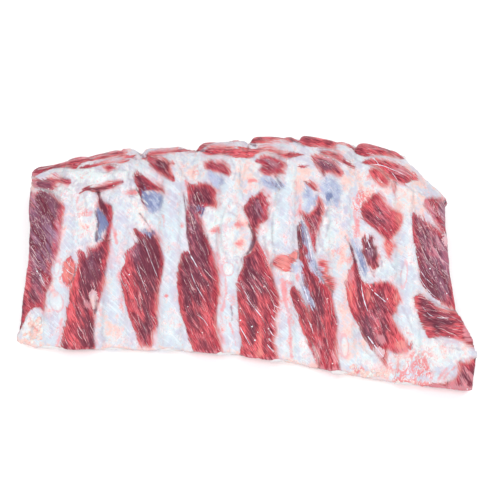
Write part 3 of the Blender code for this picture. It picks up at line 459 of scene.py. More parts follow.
# Thin white threads that cross the lean meat.
THREADS = (
    (31, 206, 36, 212, 43, 218), (35, 218, 43, 225, 50, 233), (48, 231, 53, 236, 59, 242),
    (50, 242, 55, 247, 59, 252), (43, 246, 49, 254, 54, 263), (47, 260, 50, 266, 52, 271),
    (39, 275, 42, 281, 46, 286), (30, 186, 33, 196, 36, 206), (29, 200, 31, 212, 33, 224),
    (34, 236, 41, 246, 46, 256), (28, 250, 34, 262, 38, 274), (26, 284, 31, 296, 36, 306),
    (56, 210, 60, 218, 62, 226), (34, 182, 40, 180, 50, 183), (38, 170, 54, 165, 70, 160, 88, 154),
    (60, 164, 78, 160, 96, 155, 118, 151), (90, 158, 104, 155, 122, 154, 134, 152),
    (84, 187, 96, 186, 108, 183, 118, 182), (80, 262, 84, 272, 86, 284), (86, 254, 91, 266, 97, 280),
    (97, 246, 100, 258, 103, 272), (76, 284, 82, 296, 88, 306), (72, 300, 76, 310, 80, 318),
    (66, 322, 72, 334, 76, 346), (84, 330, 88, 340, 90, 349), (70, 308, 78, 322, 86, 334),
    (137, 180, 142, 184, 150, 187), (140, 232, 147, 246, 154, 262), (136, 250, 142, 264, 150, 282),
    (146, 236, 153, 250, 159, 268), (128, 268, 134, 282, 142, 298), (124, 284, 131, 300, 139, 316),
    (130, 312, 137, 326, 144, 340), (142, 300, 148, 314, 153, 328), (122, 272, 125, 282, 129, 292),
    (150, 160, 158, 165, 166, 169), (154, 159, 163, 164, 172, 170), (160, 172, 167, 176, 173, 179),
    (150, 148, 164, 145, 182, 144, 196, 146), (204, 139, 216, 135, 232, 133),
    (208, 150, 228, 151, 248, 150, 266, 149), (252, 134, 266, 131, 284, 133),
    (306, 132, 320, 132, 336, 137, 348, 144), (314, 152, 326, 155, 338, 161, 350, 166),
    (362, 142, 374, 140, 388, 145, 398, 152), (366, 150, 380, 150, 394, 155, 404, 162),
    (372, 160, 386, 164, 400, 170, 414, 177), (384, 158, 398, 164, 410, 172),
    (208, 163, 216, 166, 225, 172), (214, 161, 221, 166, 228, 173), (262, 158, 271, 163, 281, 172),
    (268, 157, 277, 163, 286, 171), (258, 162, 266, 168, 274, 174), (318, 160, 328, 165, 338, 173),
    (322, 160, 333, 166, 342, 171), (188, 190, 192, 200, 194, 210), (196, 186, 201, 194, 204, 204),
    (190, 214, 194, 228, 199, 242), (196, 236, 203, 250, 208, 264), (190, 254, 197, 268, 204, 282),
    (182, 262, 188, 276, 194, 288), (198, 262, 206, 278, 212, 292), (186, 292, 193, 306, 201, 318),
    (200, 300, 208, 312, 215, 326), (192, 318, 200, 330, 206, 342), (206, 330, 212, 340, 217, 350),
    (186, 282, 196, 300, 206, 312), (252, 204, 257, 212, 262, 220), (254, 244, 261, 256, 268, 270),
    (246, 266, 253, 280, 262, 294), (242, 282, 250, 298, 259, 312), (256, 272, 264, 286, 272, 300),
    (240, 306, 247, 320, 254, 334), (254, 306, 262, 318, 270, 334), (246, 336, 252, 346, 256, 356),
    (262, 330, 268, 342, 273, 352), (270, 300, 276, 304, 282, 311), (269, 318, 275, 322, 281, 330),
    (267, 332, 273, 338, 280, 345), (270, 306, 275, 309, 281, 316), (271, 312, 276, 316, 282, 323),
    (268, 324, 274, 329, 281, 337), (269, 339, 274, 343, 280, 351), (268, 346, 273, 350, 278, 357),
    (309, 216, 313, 224, 316, 234), (305, 250, 309, 264, 315, 278), (316, 282, 322, 296, 326, 310),
    (312, 292, 316, 306, 320, 320), (318, 316, 324, 330, 328, 344), (310, 322, 315, 336, 320, 348),
    (326, 300, 330, 314, 333, 328), (298, 298, 303, 310, 308, 322), (322, 342, 328, 354, 333, 364),
    (372, 202, 378, 208, 380, 216), (380, 214, 386, 212, 392, 216), (376, 222, 384, 228, 390, 236),
    (352, 282, 357, 298, 362, 312), (370, 296, 377, 308, 384, 322), (378, 288, 385, 302, 390, 318),
    (382, 318, 390, 332, 398, 346), (366, 318, 373, 332, 381, 346), (392, 282, 396, 292, 396, 304),
    (418, 224, 424, 234, 426, 244), (428, 232, 432, 242, 430, 252), (436, 236, 442, 246, 448, 254),
    (422, 250, 428, 262, 434, 268), (434, 256, 440, 268, 448, 276), (426, 270, 434, 280, 442, 284),
    (442, 260, 450, 268, 456, 278), (430, 286, 440, 292, 452, 298), (448, 240, 452, 250, 455, 262),
    (426, 302, 434, 306, 446, 306), (420, 312, 432, 320, 446, 324), (436, 326, 448, 332, 462, 340),
    (446, 314, 458, 320, 470, 330), (428, 206, 436, 214, 446, 222), (436, 200, 442, 208, 448, 216),
    (464, 366, 468, 374, 466, 384), (472, 362, 475, 372, 472, 384), (460, 382, 468, 388, 478, 388),
)

# Creases between folds of fat: carved in, and painted with shade along them.
CREASES = (
    (76, 180, 73, 186, 84, 184, 94, 181), (48, 193, 56, 196, 62, 199, 72, 203),
    (130, 167, 129, 178, 132, 192), (88, 232, 90, 240, 89, 247), (216, 229, 217, 249, 225, 268),
    (240, 173, 242, 184, 243, 196), (248, 167, 254, 173, 260, 182), (263, 236, 265, 249, 269, 260),
    (272, 225, 273, 246, 276, 259), (288, 216, 290, 226, 289, 237), (301, 182, 304, 190, 303, 197),
    (176, 161, 182, 170, 187, 180), (230, 158, 236, 170, 233, 180), (348, 152, 359, 161, 375, 165),
    (354, 172, 359, 181, 361, 195), (405, 184, 414, 191, 425, 195), (414, 197, 413, 206, 411, 215),
    (429, 331, 443, 345, 461, 350), (389, 259, 396, 274, 386, 277), (379, 256, 382, 264, 380, 272),
    (402, 307, 411, 325, 414, 340), (318, 231, 320, 245, 329, 256), (395, 352, 398, 361, 396, 370),
    (359, 331, 361, 345, 371, 356), (148, 196, 150, 206, 156, 216), (84, 196, 86, 206, 84, 216),
    (100, 172, 112, 170, 126, 171), (228, 212, 238, 218, 242, 230), (325, 212, 328, 222, 326, 236),
    (196, 164, 200, 172, 196, 180), (30, 316, 33, 326, 30, 338), (414, 352, 424, 360, 426, 372),
)

# White sinew that lies over the meat, the comb of short strokes beside rib 5, and the threads of the
# net on rib 1: half width in mm, then the line.
SINEWS = (
    (2.6, (302, 219, 307, 234, 310, 250, 314, 266, 321, 279)),
    (2.6, (300, 264, 301, 276, 304, 288, 308, 299, 312, 308)),
    (1.3, (367, 281, 373, 291, 381, 298, 387, 303)),
    (1, (361, 280, 362, 290, 364, 300, 367, 309, 372, 320)),
    (1.4, (366, 334, 372, 342, 378, 350, 385, 359)), (1.1, (367, 239, 369, 244, 371, 249)),
    (0.7, (421, 300, 428, 308, 440, 312, 452, 310, 463, 312)),
    (0.5, (422, 306, 430, 315, 442, 318, 456, 316)), (1.2, (187, 244, 190, 254, 195, 263, 203, 278)),
    (0.6, (190, 270, 195, 283, 201, 294, 207, 304)), (1, (246, 296, 252, 305, 257, 311, 264, 320)),
    (0.5, (238, 272, 243, 288, 250, 300)), (0.9, (237, 322, 244, 334, 251, 347)),
    (0.5, (141, 235, 147, 250, 153, 266, 159, 281)), (0.4, (136, 262, 142, 280, 149, 298)),
    (0.8, (361, 159, 370, 157, 377, 162, 381, 171)), (1.3, (366, 165, 380, 165, 396, 171, 410, 178)),
    (0.8, (388, 168, 396, 178, 400, 186)), (0.9, (318, 157, 330, 158, 342, 164, 350, 170)),
    (0.6, (362, 152, 374, 155, 390, 160, 404, 168)), (0.6, (70, 165, 84, 163, 100, 160, 122, 158)),
    (0.7, (40, 272, 42, 280, 46, 286)), (0.5, (184, 194, 186, 204, 188, 212)),
    (0.5, (260, 240, 264, 252, 268, 262)), (0.7, (306, 316, 311, 326, 314, 336)),
    (0.5, (196, 314, 204, 320, 210, 330)), (0.7, (412, 246, 416, 264, 421, 280, 430, 292, 438, 299)),
    (0.5, (416, 262, 424, 276, 434, 286)), (0.6, (273, 304, 277, 307, 282, 309)),
    (0.7, (272, 309, 276, 313, 282, 315)), (0.7, (271, 315, 275, 320, 281, 323)),
    (0.8, (270, 322, 274, 327, 280, 330)), (0.8, (269, 329, 273, 335, 279, 338)),
    (0.7, (268, 337, 272, 342, 278, 345)), (0.7, (267, 344, 271, 349, 276, 353)),
    (0.5, (273, 177, 278, 184, 283, 191)), (0.5, (322, 186, 330, 181, 337, 177)),
    (0.4, (323, 193, 331, 188, 338, 183)), (0.5, (325, 180, 331, 188, 336, 196)),
    (0.5, (66, 260, 70, 266, 75, 270)), (0.5, (64, 267, 69, 272, 74, 275)),
    (0.4, (71, 257, 69, 266, 66, 274)), (0.4, (64, 275, 69, 279, 71, 283)),
)

# Clusters of fat lumps: (x, y, half width, half height, how many, a lump's half width in mm).
CLUSTERS = (
    (36, 329, 6, 10, 26, 2.2),
    (26, 338, 6, 5, 8, 2),
    (374, 373, 13, 3, 18, 1.9),
    (400, 383, 8, 2, 8, 1.5),
    (352, 368, 5, 2, 5, 1.4),
    (466, 392, 5, 1.5, 4, 1.4),
)

# ---------------------------------------------------------------- how the marks are drawn, in mm
FARTHEST = 12.0
OUTLINE_STEPS = 5
THREAD_HALF_WIDTH = 0.15
EDGE_WOBBLE = 0.35
FIBRE_WANDER = 2.5
FIBRE_STRAY = 0.5
MUSCLE_APART = 23.0
MUSCLE_LAYER = 7.0
PAST_FAR_EDGE = (3.0, 9.0)
# A painted pale sheen along the seen top edge: its width in pixels and its strength.
SHEEN_RIM_PIXELS = 1.8
SHEEN_RIM_WARMTH = 0.15
# A paler, warmer rim along the sawn edge: painted light against the shade there, and thinner meat at that
# edge.
SAWN_RIM = 0.022
SAWN_RIM_LIGHT = 0.8
HIDDEN_WARMTH = 0.5
HIDDEN_CREAM = 0.5
RIGHT_SIDE = (0.35, 0.65)
END_ON = (0.3, 0.7)
LINE_NAMES = ("cleft", "vein", "thread", "crease")
MARK_NAMES = ("lean", "silver", "fat", "oval", "crevice_shade", "right_side", *LINE_NAMES, *SPOTS)

# ---------------------------------------------------------------- faces that the view doesn't show, in mm
# The far face and the ends show layers of lean meat: how far apart they are, how much noise bends
# them, how thick they are, how much of each is lean, and how far off their fibres' pattern starts.
HIDDEN_DRIFT = (40.0, 40.0, 14.0)
FAR_APART = 13.0
FAR_BEND = 3.4
FAR_SWING = 4.2
FAR_LEAN = 2.4
FAR_PATTERN = 200.0
END_APART = 11.0
END_BEND = 5.0
END_SWING = 4.0
END_LEAN = 2.6
END_PATTERN = 300.0
END_TILT = 22.0
# The underside is lean between the ribs, from a share of a bay's width off the rib lines.
UNDER_RIM = 0.22
UNDER_RISE = 44.0
UNDER_BEND = 2.0
UNDER_PATTERN = 400.0
UNDER_VEIL = 0.5
HIDDEN_VEIL = 0.1

# ---------------------------------------------------------------- where relief starts and is full, in mm
LEAN_RISE = (-0.3, 0.9)
BELLY_RISE = (0.3, 6.5)
FAT_RISE = (-0.4, 1.0)
SILVER_RISE = (-0.2, 1.8)
CLEFT_RISE = (-0.9, 0.9)
CREASE_RISE = (0.0, 2.2)
OVAL_RISE = (-0.6, 1.2)
# Where the painted shade in the hollows of the lumps and folds starts and is full.
CREVICE_SHADE_RISE = (0.1, 0.7)
FLOOR_RISE = (0.2, 2.5)
OVAL_SWELL = 1.6

# Features of the relief's noise in mm: (size, share) of a coarse and a fine one.
BUNDLES = (((2.6, 26.0, 4.0), 1.0), ((1.3, 15.0, 4.0), 0.6))
LUMPS = ((4.5, 1.0), (2.2, 0.5))
FOLDS = (((7.0, 16.0, 16.0), 1.0), (3.0, 0.5))
SWELLS = 17.0

# ---------------------------------------------------------------- bones, strands and lumps
SKIN_NAME = "slab_skin"
BONE_SIDES = 28
BONE_RINGS = 44
BONE_UNEVEN = 0.04
MARROW_RIM = 0.25 * MM
TUBE_UNEVEN = 1.1
TUBE_UNEVEN_LENGTH = 3.5 * MM
TUBE_TAPER = 0.6
STRAND_SEED = 31
STRAND_LENGTHS = (5.0, 26.0)
STRAND_SHARES = (0.5, 1.5)
STRAND_BEND = 0.16
STRAND_STRAY = 0.12
STRAND_WAVE = 0.12
STRAND_OVERRUN = 0.6
STRAND_SIDES = 5
STRAND_FLATNESS = 0.7
STRAND_SINK = 0.35
SINEW_SIDES = 8
SINEW_WIDTH = 0.38
SINEW_HEIGHT = 0.2
SINEW_TALLEST = 0.25
SINEW_SINK = 0.4
LUMP_SEED = 5
LUMP_SHARES = (0.6, 1.2)
LUMP_DENT = 0.7
LUMP_FLATNESS = 0.5
LUMP_SINK = 0.15
DENT_SEEDS = (0.0, 90.0)
FLECK_SEED = 11
FLECK_SIZES = (0.3, 0.75)
FLECK_FROM_EDGE = 0.5

# ---------------------------------------------------------------- the stage's lamps, in m
KEY_SIDE = 1.5
KEY_PLACE = (-0.3, -0.9, 1.6)
FILL_SIDE = 1.4
FILL_PLACE = (0.9, 0.8, 1.3)
ROOM_COLOUR = (0.97, 0.98, 1.0)


# ---------------------------------------------------------------- settings
def size(name, description, default):
    """A length that a user can set."""
    return bpy.props.FloatProperty(
        name=name, description=description, default=default, min=0.0, unit="LENGTH", subtype="DISTANCE"
    )


def number(name, description, default):
    """A plain number that a user can set."""
    return bpy.props.FloatProperty(name=name, description=description, default=default, min=0.0)


def tint(name, description, default):
    """A colour that a user can set."""
    return bpy.props.FloatVectorProperty(
        name=name, description=description, default=default, size=3, min=0.0, max=1.0, subtype="COLOR"
    )


class ReliefSettings(bpy.types.PropertyGroup):
    """Heights and depths of the slab's surface."""

    lean_step: size("Lean step", "How far lean meat lies under the membrane at its edge", 0.9 * MM)
    lean_belly: size("Lean belly", "How far lean meat swells back in its middle", 1.5 * MM)
    bundle_ridge: size("Bundle ridges", "Height of the fibre bundles", 0.38 * MM)
    fat_thickness: size("Fat thickness", "How far flaps of fat stand over the meat", 1.5 * MM)
    fat_lumps: size("Fat lumps", "Height of the lumps in the fat", 1.0 * MM)
    silver_depth: size("Silverskin depth", "Depth of the hollows floored with silverskin", 1.1 * MM)
    crease_depth: size("Crease depth", "Depth of the creases in the fat", 1.0 * MM)
    cleft_depth: size("Cleft depth", "Depth of the dark clefts", 1.6 * MM)
    wrinkles: size("Membrane wrinkles", "Height of the wrinkles in the membrane", 0.5 * MM)
    swell: size("Swell", "Height of the broad unevenness", 0.9 * MM)


class LeanSettings(bpy.types.PropertyGroup):
    """Colours of the lean meat."""

    dark: tint("Dark", "Maroon core of the lean meat", (0.150, 0.033, 0.056))
    middle: tint("Middle", "Lean meat between core and edge", (0.50, 0.060, 0.083))
    bright: tint("Bright", "Crimson lean meat", (0.70, 0.105, 0.122))
    edge: tint("Edge", "Thin lean meat over white tissue", (0.74, 0.26, 0.23))
    deep: tint("Deep", "Dark threads between fibres", (0.10, 0.012, 0.028))
    veil: tint("Veil", "Pale film over lean meat", (0.31, 0.17, 0.27))
    pink: tint("Pink", "Pale lean meat", (0.66, 0.30, 0.34))
    light: tint("Light", "Light threads among the fibres", (0.64, 0.17, 0.21))
    strand: tint("Strand", "Thin white tissue between fibres", (0.84, 0.62, 0.64))


class PaleSettings(bpy.types.PropertyGroup):
    """Colours of the membrane and the fat."""

    membrane: tint("Membrane", "Bluish white membrane over the ribs", (0.54, 0.60, 0.66))
    # Shine whitens the membrane's fine hatching, and is painted highlight on the fat and on the flecks.
    shine: tint("Shine", "Whitest threads and lumps", (0.79, 0.86, 0.90))
    lilac: tint("Lilac", "Bone showing through the membrane", (0.50, 0.47, 0.58))
    cream: tint("Cream", "Thick fat", (0.70, 0.74, 0.72))
    cool: tint("Cool", "Greenish white patches", (0.60, 0.70, 0.72))
    warm: tint("Warm", "Pinkish fat", (0.78, 0.50, 0.45))
    blush: tint("Blush", "Meat showing through the membrane", (0.70, 0.36, 0.40))
    red: tint("Red", "Blood spots and the edges of flecks", (0.70, 0.19, 0.20))
    vein: tint("Vein", "Pink lines in the membrane", (0.72, 0.30, 0.32))
    # Painted shade, along the creases of the fat and the wrinkle lines of the membrane.
    crease: tint("Crease", "Shaded creases in the fat", (0.45, 0.40, 0.46))
    silver: tint("Silver", "Blue-grey silverskin", (0.14, 0.17, 0.34))
    silver_light: tint("Light silver", "Folds in the silverskin", (0.40, 0.43, 0.60))
    # Painted shade deep in the clefts, dark maroon like meat.
    cleft: tint("Cleft", "Dark depth of a cleft", (0.15, 0.04, 0.065))


class BoneSettings(bpy.types.PropertyGroup):
    """Shape and colours of the rib bones."""

    wall: size("Wall", "Thickness of the hard wall round the marrow", 1.6 * MM)
    near_end: size("Near end", "How far a bone stands out of the sawn edge", 0.4 * MM)
    far_end: size("Far end", "How far a bone stands out of the lobed edge", 1.2 * MM)
    marrow_depth: size("Marrow depth", "How far the marrow lies under the sawn rim", 0.5 * MM)
    hard: tint("Hard bone", "Outer wall of a bone", (0.74, 0.72, 0.73))
    stain: tint("Stain", "Meat left on a bone", (0.72, 0.42, 0.36))
    grain: tint("Grain", "Shaded grain of a bone", (0.62, 0.52, 0.44))
    marrow: tint("Marrow", "Spongy marrow", (0.42, 0.07, 0.06))
    blood: tint("Blood", "Dark stains in the marrow", (0.30, 0.03, 0.03))


class StrandSettings(bpy.types.PropertyGroup):
    """Thin white strands among the fibres."""

    strands: number("Per area", "Strands on each thousand square pixels of lean meat", 6.0)
    flecks: number("Flecks per area", "Flecks tried on each thousand square pixels", 1.2)
    thickness: size("Thickness", "Half thickness of a middling strand", 0.15 * MM)
    colour: tint("Colour", "Colour of the strands", (0.82, 0.62, 0.62))
    stain: tint("Stain", "Meat that shows through the strands", (0.62, 0.30, 0.34))
    sinew: tint("Sinew", "Colour of the broad sinews", (0.78, 0.76, 0.84))
    sinew_stain: tint("Sinew stain", "Meat that shows through the sinews", (0.66, 0.50, 0.58))


class StageSettings(bpy.types.PropertyGroup):
    """Floor and light."""

    floor_size: size("Floor size", "Side of the floor", 6.0)
    floor_colour: tint("Floor colour", "Pale floor", (1.0, 1.0, 1.0))
    floor_grain: tint("Floor grain", "Faint grain of the floor", (0.99, 0.99, 0.99))
    key_power: number("Key power", "Power of the large soft lamp, in watts", 28.0)
    fill_power: number("Fill power", "Power of the soft lamp on the other side, in watts", 13.0)
    room_strength: number("Room strength", "Strength of the even room light", 0.54)


class SlabSettings(bpy.types.PropertyGroup):
    """All that a user would change on the slab of ribs."""

    relief: bpy.props.PointerProperty(type=ReliefSettings)
    lean: bpy.props.PointerProperty(type=LeanSettings)
    pale: bpy.props.PointerProperty(type=PaleSettings)
    bone: bpy.props.PointerProperty(type=BoneSettings)
    strand: bpy.props.PointerProperty(type=StrandSettings)
    stage: bpy.props.PointerProperty(type=StageSettings)


# ---------------------------------------------------------------- the form, as arrays
def between(before, a, b, after, t):
    """A smooth curve from a to b as t goes from 0 to 1, led by the values before and after."""
    bend = (2 * before - 5 * a + 4 * b - after) * t**2 + (3 * a - before - 3 * b + after) * t**3
    return 0.5 * (2 * a + (b - before) * t + bend)


def through(values, rib):
    """A smooth curve through values, one for each whole number of rib."""
    row = np.array([2 * values[0] - values[1], *values, 2 * values[-1] - values[-2]])
    index = np.clip(np.floor(rib).astype(int), 0, len(values) - 2)
    t = rib - index
    return between(*(row[index + step] for step in range(4)), t)


def rib_line_x(rib, along):
    """X of a rib line: a parabola through its near, middle and far places."""
    near, middle, far = (through(row, rib) for row in (X_NEAR, X_MIDDLE, X_FAR))
    m = MIDDLE_ALONG
    step = along * (len(RIGHT_SHIFT) - 1)
    left = through(LEFT_SHIFT, step) * np.clip(1 - rib / SHIFTED_RIBS, 0, 1) ** SHIFT_FADE
    right = through(RIGHT_SHIFT, step) * np.clip(1 - (LAST_RIB - rib) / SHIFTED_RIBS, 0, 1) ** SHIFT_FADE
    return (
        near * (along - m) * (along - 1) / m
        + middle * along * (along - 1) / (m * (m - 1))
        + far * along * (along - m) / (1 - m)
        + left
        + right
    )


def lobe_share(rib):
    """How far the far edge bulges: 1 at a lobe's full left end, 0 in a crease."""
    rise = np.clip(rib / FIRST_LOBE_PEAK, 0, 1)
    fall = np.clip((rib - FIRST_LOBE_PEAK) / (LOBE_CREASES[0] - FIRST_LOBE_PEAK), 0, 1)
    share = FIRST_LOBE_SHARE * rise * (1 - fall**2)
    for start, stop in zip(LOBE_CREASES[:-1], LOBE_CREASES[1:]):
        t = np.clip((rib - start) / (stop - start), 0, 1)
        share = share + np.where(t > 0, (1 - np.exp(-t / CREASE_WIDTH)) * (1 - t) ** LOBE_TAPER, 0)
    return share


def depth_of(rib):
    """(y of the sawn edge, distance from there to the far face) at a rib line."""
    y_near = through(Y_NEAR, rib)
    y_far = through(Y_FAR, rib) + through(FAR_SHIFT, rib)
    return y_near, y_far + LOBE_BULGE * lobe_share(rib) - y_near


def peak_height(rib):
    """Height of the arch's crown, which drops a little towards both ends."""
    left = np.clip(1.0 - rib / LEFT_DROP_BEFORE_RIB, 0, 1)
    right = np.clip((rib - RIGHT_DROP_AFTER_RIB) / (LAST_RIB - RIGHT_DROP_AFTER_RIB), 0, 1)
    return PEAK_HEIGHT - END_DROP * (left**2 + right**2)


def arch(rib, along):
    """(distance from the sawn edge, height) of the plain arch."""
    depth = depth_of(rib)[1]
    crown = peak_height(rib)
    at_peak = depth * PEAK_SHARE_OF_DEPTH
    share = np.clip(along / PEAK_ALONG, 0, 1)
    rise = np.sin(share * math.pi / 2) ** ARCH_FULLNESS
    turn = np.clip((along - PEAK_ALONG) / (1 - PEAK_ALONG), 0, 1) * math.pi / 2
    before = along < PEAK_ALONG
    ahead = np.where(before, at_peak * along / PEAK_ALONG, at_peak + (depth - at_peak) * np.sin(turn))
    falling = FAR_BULGE_HEIGHT + (crown - FAR_BULGE_HEIGHT) * np.cos(turn)
    return ahead, np.where(before, NEAR_HEIGHT + (crown - NEAR_HEIGHT) * rise, falling)


def bone_half_width(along):
    """Half a bone's width in mm, which narrows towards the far edge."""
    return (BONE_WIDTH_NEAR + (BONE_WIDTH_FAR - BONE_WIDTH_NEAR) * along) / 2


def bone_side(rib, along):
    """Distance sideways from the nearest bone's line, as a share of the bone's half width."""
    nearest = np.clip(np.round(rib), 1, RIB_COUNT)
    return (rib_line_x(rib, along) - rib_line_x(nearest, along)) / bone_half_width(along)


def bone_top(rib, along):
    """Height of the nearest bone's upper side over the plain arch."""
    round_ = np.sqrt(np.maximum(1 - bone_side(rib, along) ** 2, 0))
    return BONE_THICKNESS / 2 * round_ - BONE_SINK


def relief(rib, along):
    """Height of the upper side over the plain arch: valleys, lobes, pads and cover over bones."""
    fade = np.minimum(1.0, (1 - along) / VALLEY_FADE_ALONG)
    height = -VALLEY_DEPTH * (1 - np.cos(2 * math.pi * rib)) / 2 * fade
    share = np.clip((along - LOBE_START_ALONG) / (LOBE_FULL_ALONG - LOBE_START_ALONG), 0, 1)
    roll = np.maximum(np.cos(along * math.pi / 2), 0) ** LOBE_ROLL
    height = height + LOBE_RISE * lobe_share(rib) * share * roll
    depth = depth_of(rib)[1]
    here = rib_line_x(rib, along)
    for pad_rib, pad_along, across, lengthwise, pad_height in PADS:
        side = here - rib_line_x(np.array(pad_rib), along)
        ahead = (along - pad_along) * depth
        height = height + pad_height * np.exp(-((side / across) ** 2) - (ahead / lengthwise) ** 2)
    cover = COVER_OVER_BONE + bone_top(rib, along)
    return np.logaddexp(height * COVER_SHARPNESS, cover * COVER_SHARPNESS) / COVER_SHARPNESS


def underside_height(ahead, depth):
    """Height of the hollow under the arch at a distance from the sawn edge."""
    near, far = SAW_UNDERCUT + NEAR_FOOT, depth - FAR_FOOT_INSET - FAR_FOOT
    share = np.clip((ahead - near) / (far - near), 0, 1)
    return HOLLOW_HEIGHT * np.maximum(np.sin(math.pi * share), 0) ** HOLLOW_TAPER


def section(rib, inset):
    """(points, along, part) of the outline at a rib line: part is 0 top, 1 far, 2 under, 3 saw."""
    rib = np.array(float(rib))
    y_near, depth = depth_of(rib)
    along = np.linspace(0, 1, TOP_POINTS)
    ahead, height = arch(rib, along)
    down = INSET_DOWN_NEAR + (INSET_DOWN_FAR - INSET_DOWN_NEAR) * along
    height = height + relief(rib, along) - inset * down
    ahead = ahead + inset * INSET_SIDEWAYS * (1 - 2 * along)
    rows = [np.stack([rib_line_x(rib, along), y_near + ahead, height], -1)]
    turn = np.arange(1, FAR_POINTS + 1) / FAR_POINTS * math.pi / 2
    far_ahead = depth - FAR_FOOT_INSET * (1 - np.cos(turn)) - inset * INSET_SIDEWAYS
    far_height = FAR_BULGE_HEIGHT * (1 - np.sin(turn))
    far_x = np.full(FAR_POINTS, float(rib_line_x(rib, 1.0)))
    rows.append(np.stack([far_x, y_near + far_ahead, far_height], -1))
    start = float(depth - FAR_FOOT_INSET - FAR_FOOT_REST)
    under = np.linspace(start, SAW_UNDERCUT + inset * INSET_SIDEWAYS, UNDER_POINTS)
    under_x = rib_line_x(rib, under / depth)
    rows.append(np.stack([under_x, y_near + under, underside_height(under, depth)], -1))
    share = np.arange(1, SAW_POINTS + 1)[:, None] / (SAW_POINTS + 1)
    rows.append(rows[-1][-1] * (1 - share) + rows[0][0] * share)
    part = np.repeat((0, 1, 2, 3), (TOP_POINTS, FAR_POINTS, UNDER_POINTS, SAW_POINTS))
    along_all = np.concatenate([along, np.ones(FAR_POINTS), under / depth, np.zeros(SAW_POINTS)])
    return np.concatenate(rows), along_all, part


def middle_of_section(points, rib):
    """The place in the middle of the slab's thickness that each point of a section faces."""
    rib = np.array(float(rib))
    y_near, depth = depth_of(rib)
    at_peak = depth * PEAK_SHARE_OF_DEPTH
    ahead = np.clip(points[:, 1] - y_near, CAP_NEAR_INSET, depth - CAP_FAR_INSET)
    past = np.clip((ahead - at_peak) / (depth - at_peak), 0, 1)
    along = np.where(
        ahead < at_peak,
        PEAK_ALONG * ahead / at_peak,
        PEAK_ALONG + (1 - PEAK_ALONG) * np.arcsin(past) / (math.pi / 2),
    )
    height = (arch(rib, along)[1] + underside_height(ahead, depth)) / 2
    return np.stack([rib_line_x(rib, along), y_near + ahead, height], -1)


def station_list():
    """(rib, inset, cap share) of each section, with rounded ends and rings that close them."""
    width = (X_NEAR[-1] - X_NEAR[0]) / LAST_RIB
    caps = [(0.0, END_ROUNDING * END_INSET_SHARE, share) for share in reversed(CAP_SHARES)]
    ends = []
    for n in range(ROUNDING_RINGS):
        turn = n / ROUNDING_RINGS * math.pi / 2
        inset = END_ROUNDING * END_INSET_SHARE * (1 - math.sin(turn))
        ends.append((END_ROUNDING * (1 - math.cos(turn)) / width, inset, 0.0))
    inner = END_ROUNDING / width
    middle = [(rib, 0.0, 0.0) for rib in np.linspace(inner, LAST_RIB - inner, STATIONS)]
    left = caps + ends
    return left + middle + [(LAST_RIB - rib, inset, share) for rib, inset, share in reversed(left)]


# ---------------------------------------------------------------- drawing in the view's frame
def to_pixels(points):
    """Where the camera sees rows of points, given in mm."""
    from_camera = points - np.array(VIEW_PLACE)
    away = -(from_camera @ np.array(VIEW_BACK))
    scale = VIEW_PIXELS * VIEW_LENS / VIEW_SENSOR / away
    x = VIEW_CENTRE + scale * (from_camera @ np.array(VIEW_RIGHT))
    y = VIEW_CENTRE - scale * (from_camera @ np.array(VIEW_UP))
    return np.stack([x, y], -1)


def smooth_line(points, closed):
    """Points on a smooth curve through the given ones."""
    row = np.array(points, float).reshape(-1, 2)
    if closed:
        row = np.concatenate([row[-1:], row, row[:2]])
    else:
        row = np.concatenate([2 * row[:1] - row[1:2], row, 2 * row[-1:] - row[-2:-1]])
    t = (np.arange(OUTLINE_STEPS) / OUTLINE_STEPS)[:, None]
    pieces = [between(*four, t) for four in zip(row[:-3], row[1:-2], row[2:-1], row[3:])]
    return np.concatenate(pieces if closed else pieces + [row[-2:-1]])


def distance_to(pixels, starts, stops):
    """Distance in mm from pixels to the nearest of some straight pieces."""
    run = stops - starts
    from_start = pixels[:, None] - starts
    t = np.clip((from_start * run).sum(-1) / np.maximum((run * run).sum(-1), 1e-9), 0, 1)
    return np.sqrt(((from_start - t[..., None] * run) ** 2).sum(-1).min(-1)) * PIXEL_MM


def near_box(pixels, line, margin):
    """Which pixels lie near the box round a line."""
    low, high = line.min(0) - margin, line.max(0) + margin
    return ((pixels > low) & (pixels < high)).all(-1)


def inside_distance(pixels, outline):
    """Distance in mm to an outline's edge: positive inside, negative outside."""
    line = smooth_line(outline, closed=True)
    starts, stops = line, np.roll(line, -1, 0)
    result = np.full(len(pixels), -FARTHEST)
    near = near_box(pixels, line, FARTHEST / PIXEL_MM)
    spot = pixels[near]
    above = (starts[:, 1] > spot[:, None, 1]) != (stops[:, 1] > spot[:, None, 1])
    drop = stops[:, 1] - starts[:, 1]
    drop = np.where(drop == 0, 1e-9, drop)
    crossing = starts[:, 0] + (spot[:, None, 1] - starts[:, 1]) / drop * (stops[:, 0] - starts[:, 0])
    inside = (above & (spot[:, None, 0] < crossing)).sum(-1) % 2 == 1
    distance = distance_to(spot, starts, stops)
    result[near] = np.clip(np.where(inside, distance, -distance), -FARTHEST, FARTHEST)
    return result


def line_distance(pixels, lines):
    """Distance in mm to the nearest of some lines, less their half widths; negative on them."""
    result = np.full(len(pixels), FARTHEST)
    for half_width, points in lines:
        line = smooth_line(points, closed=False)
        near = near_box(pixels, line, FARTHEST)
        distance = distance_to(pixels[near], line[:-1], line[1:]) - half_width
        result[near] = np.minimum(result[near], distance)
    return result


def spots(pixels, rows):
    """Sum of soft round spots."""
    total = np.zeros(len(pixels))
    for x, y, half_width, half_height, strength in rows:
        away = ((pixels[:, 0] - x) / half_width) ** 2 + ((pixels[:, 1] - y) / half_height) ** 2
        total += strength * np.exp(-away)
    return total


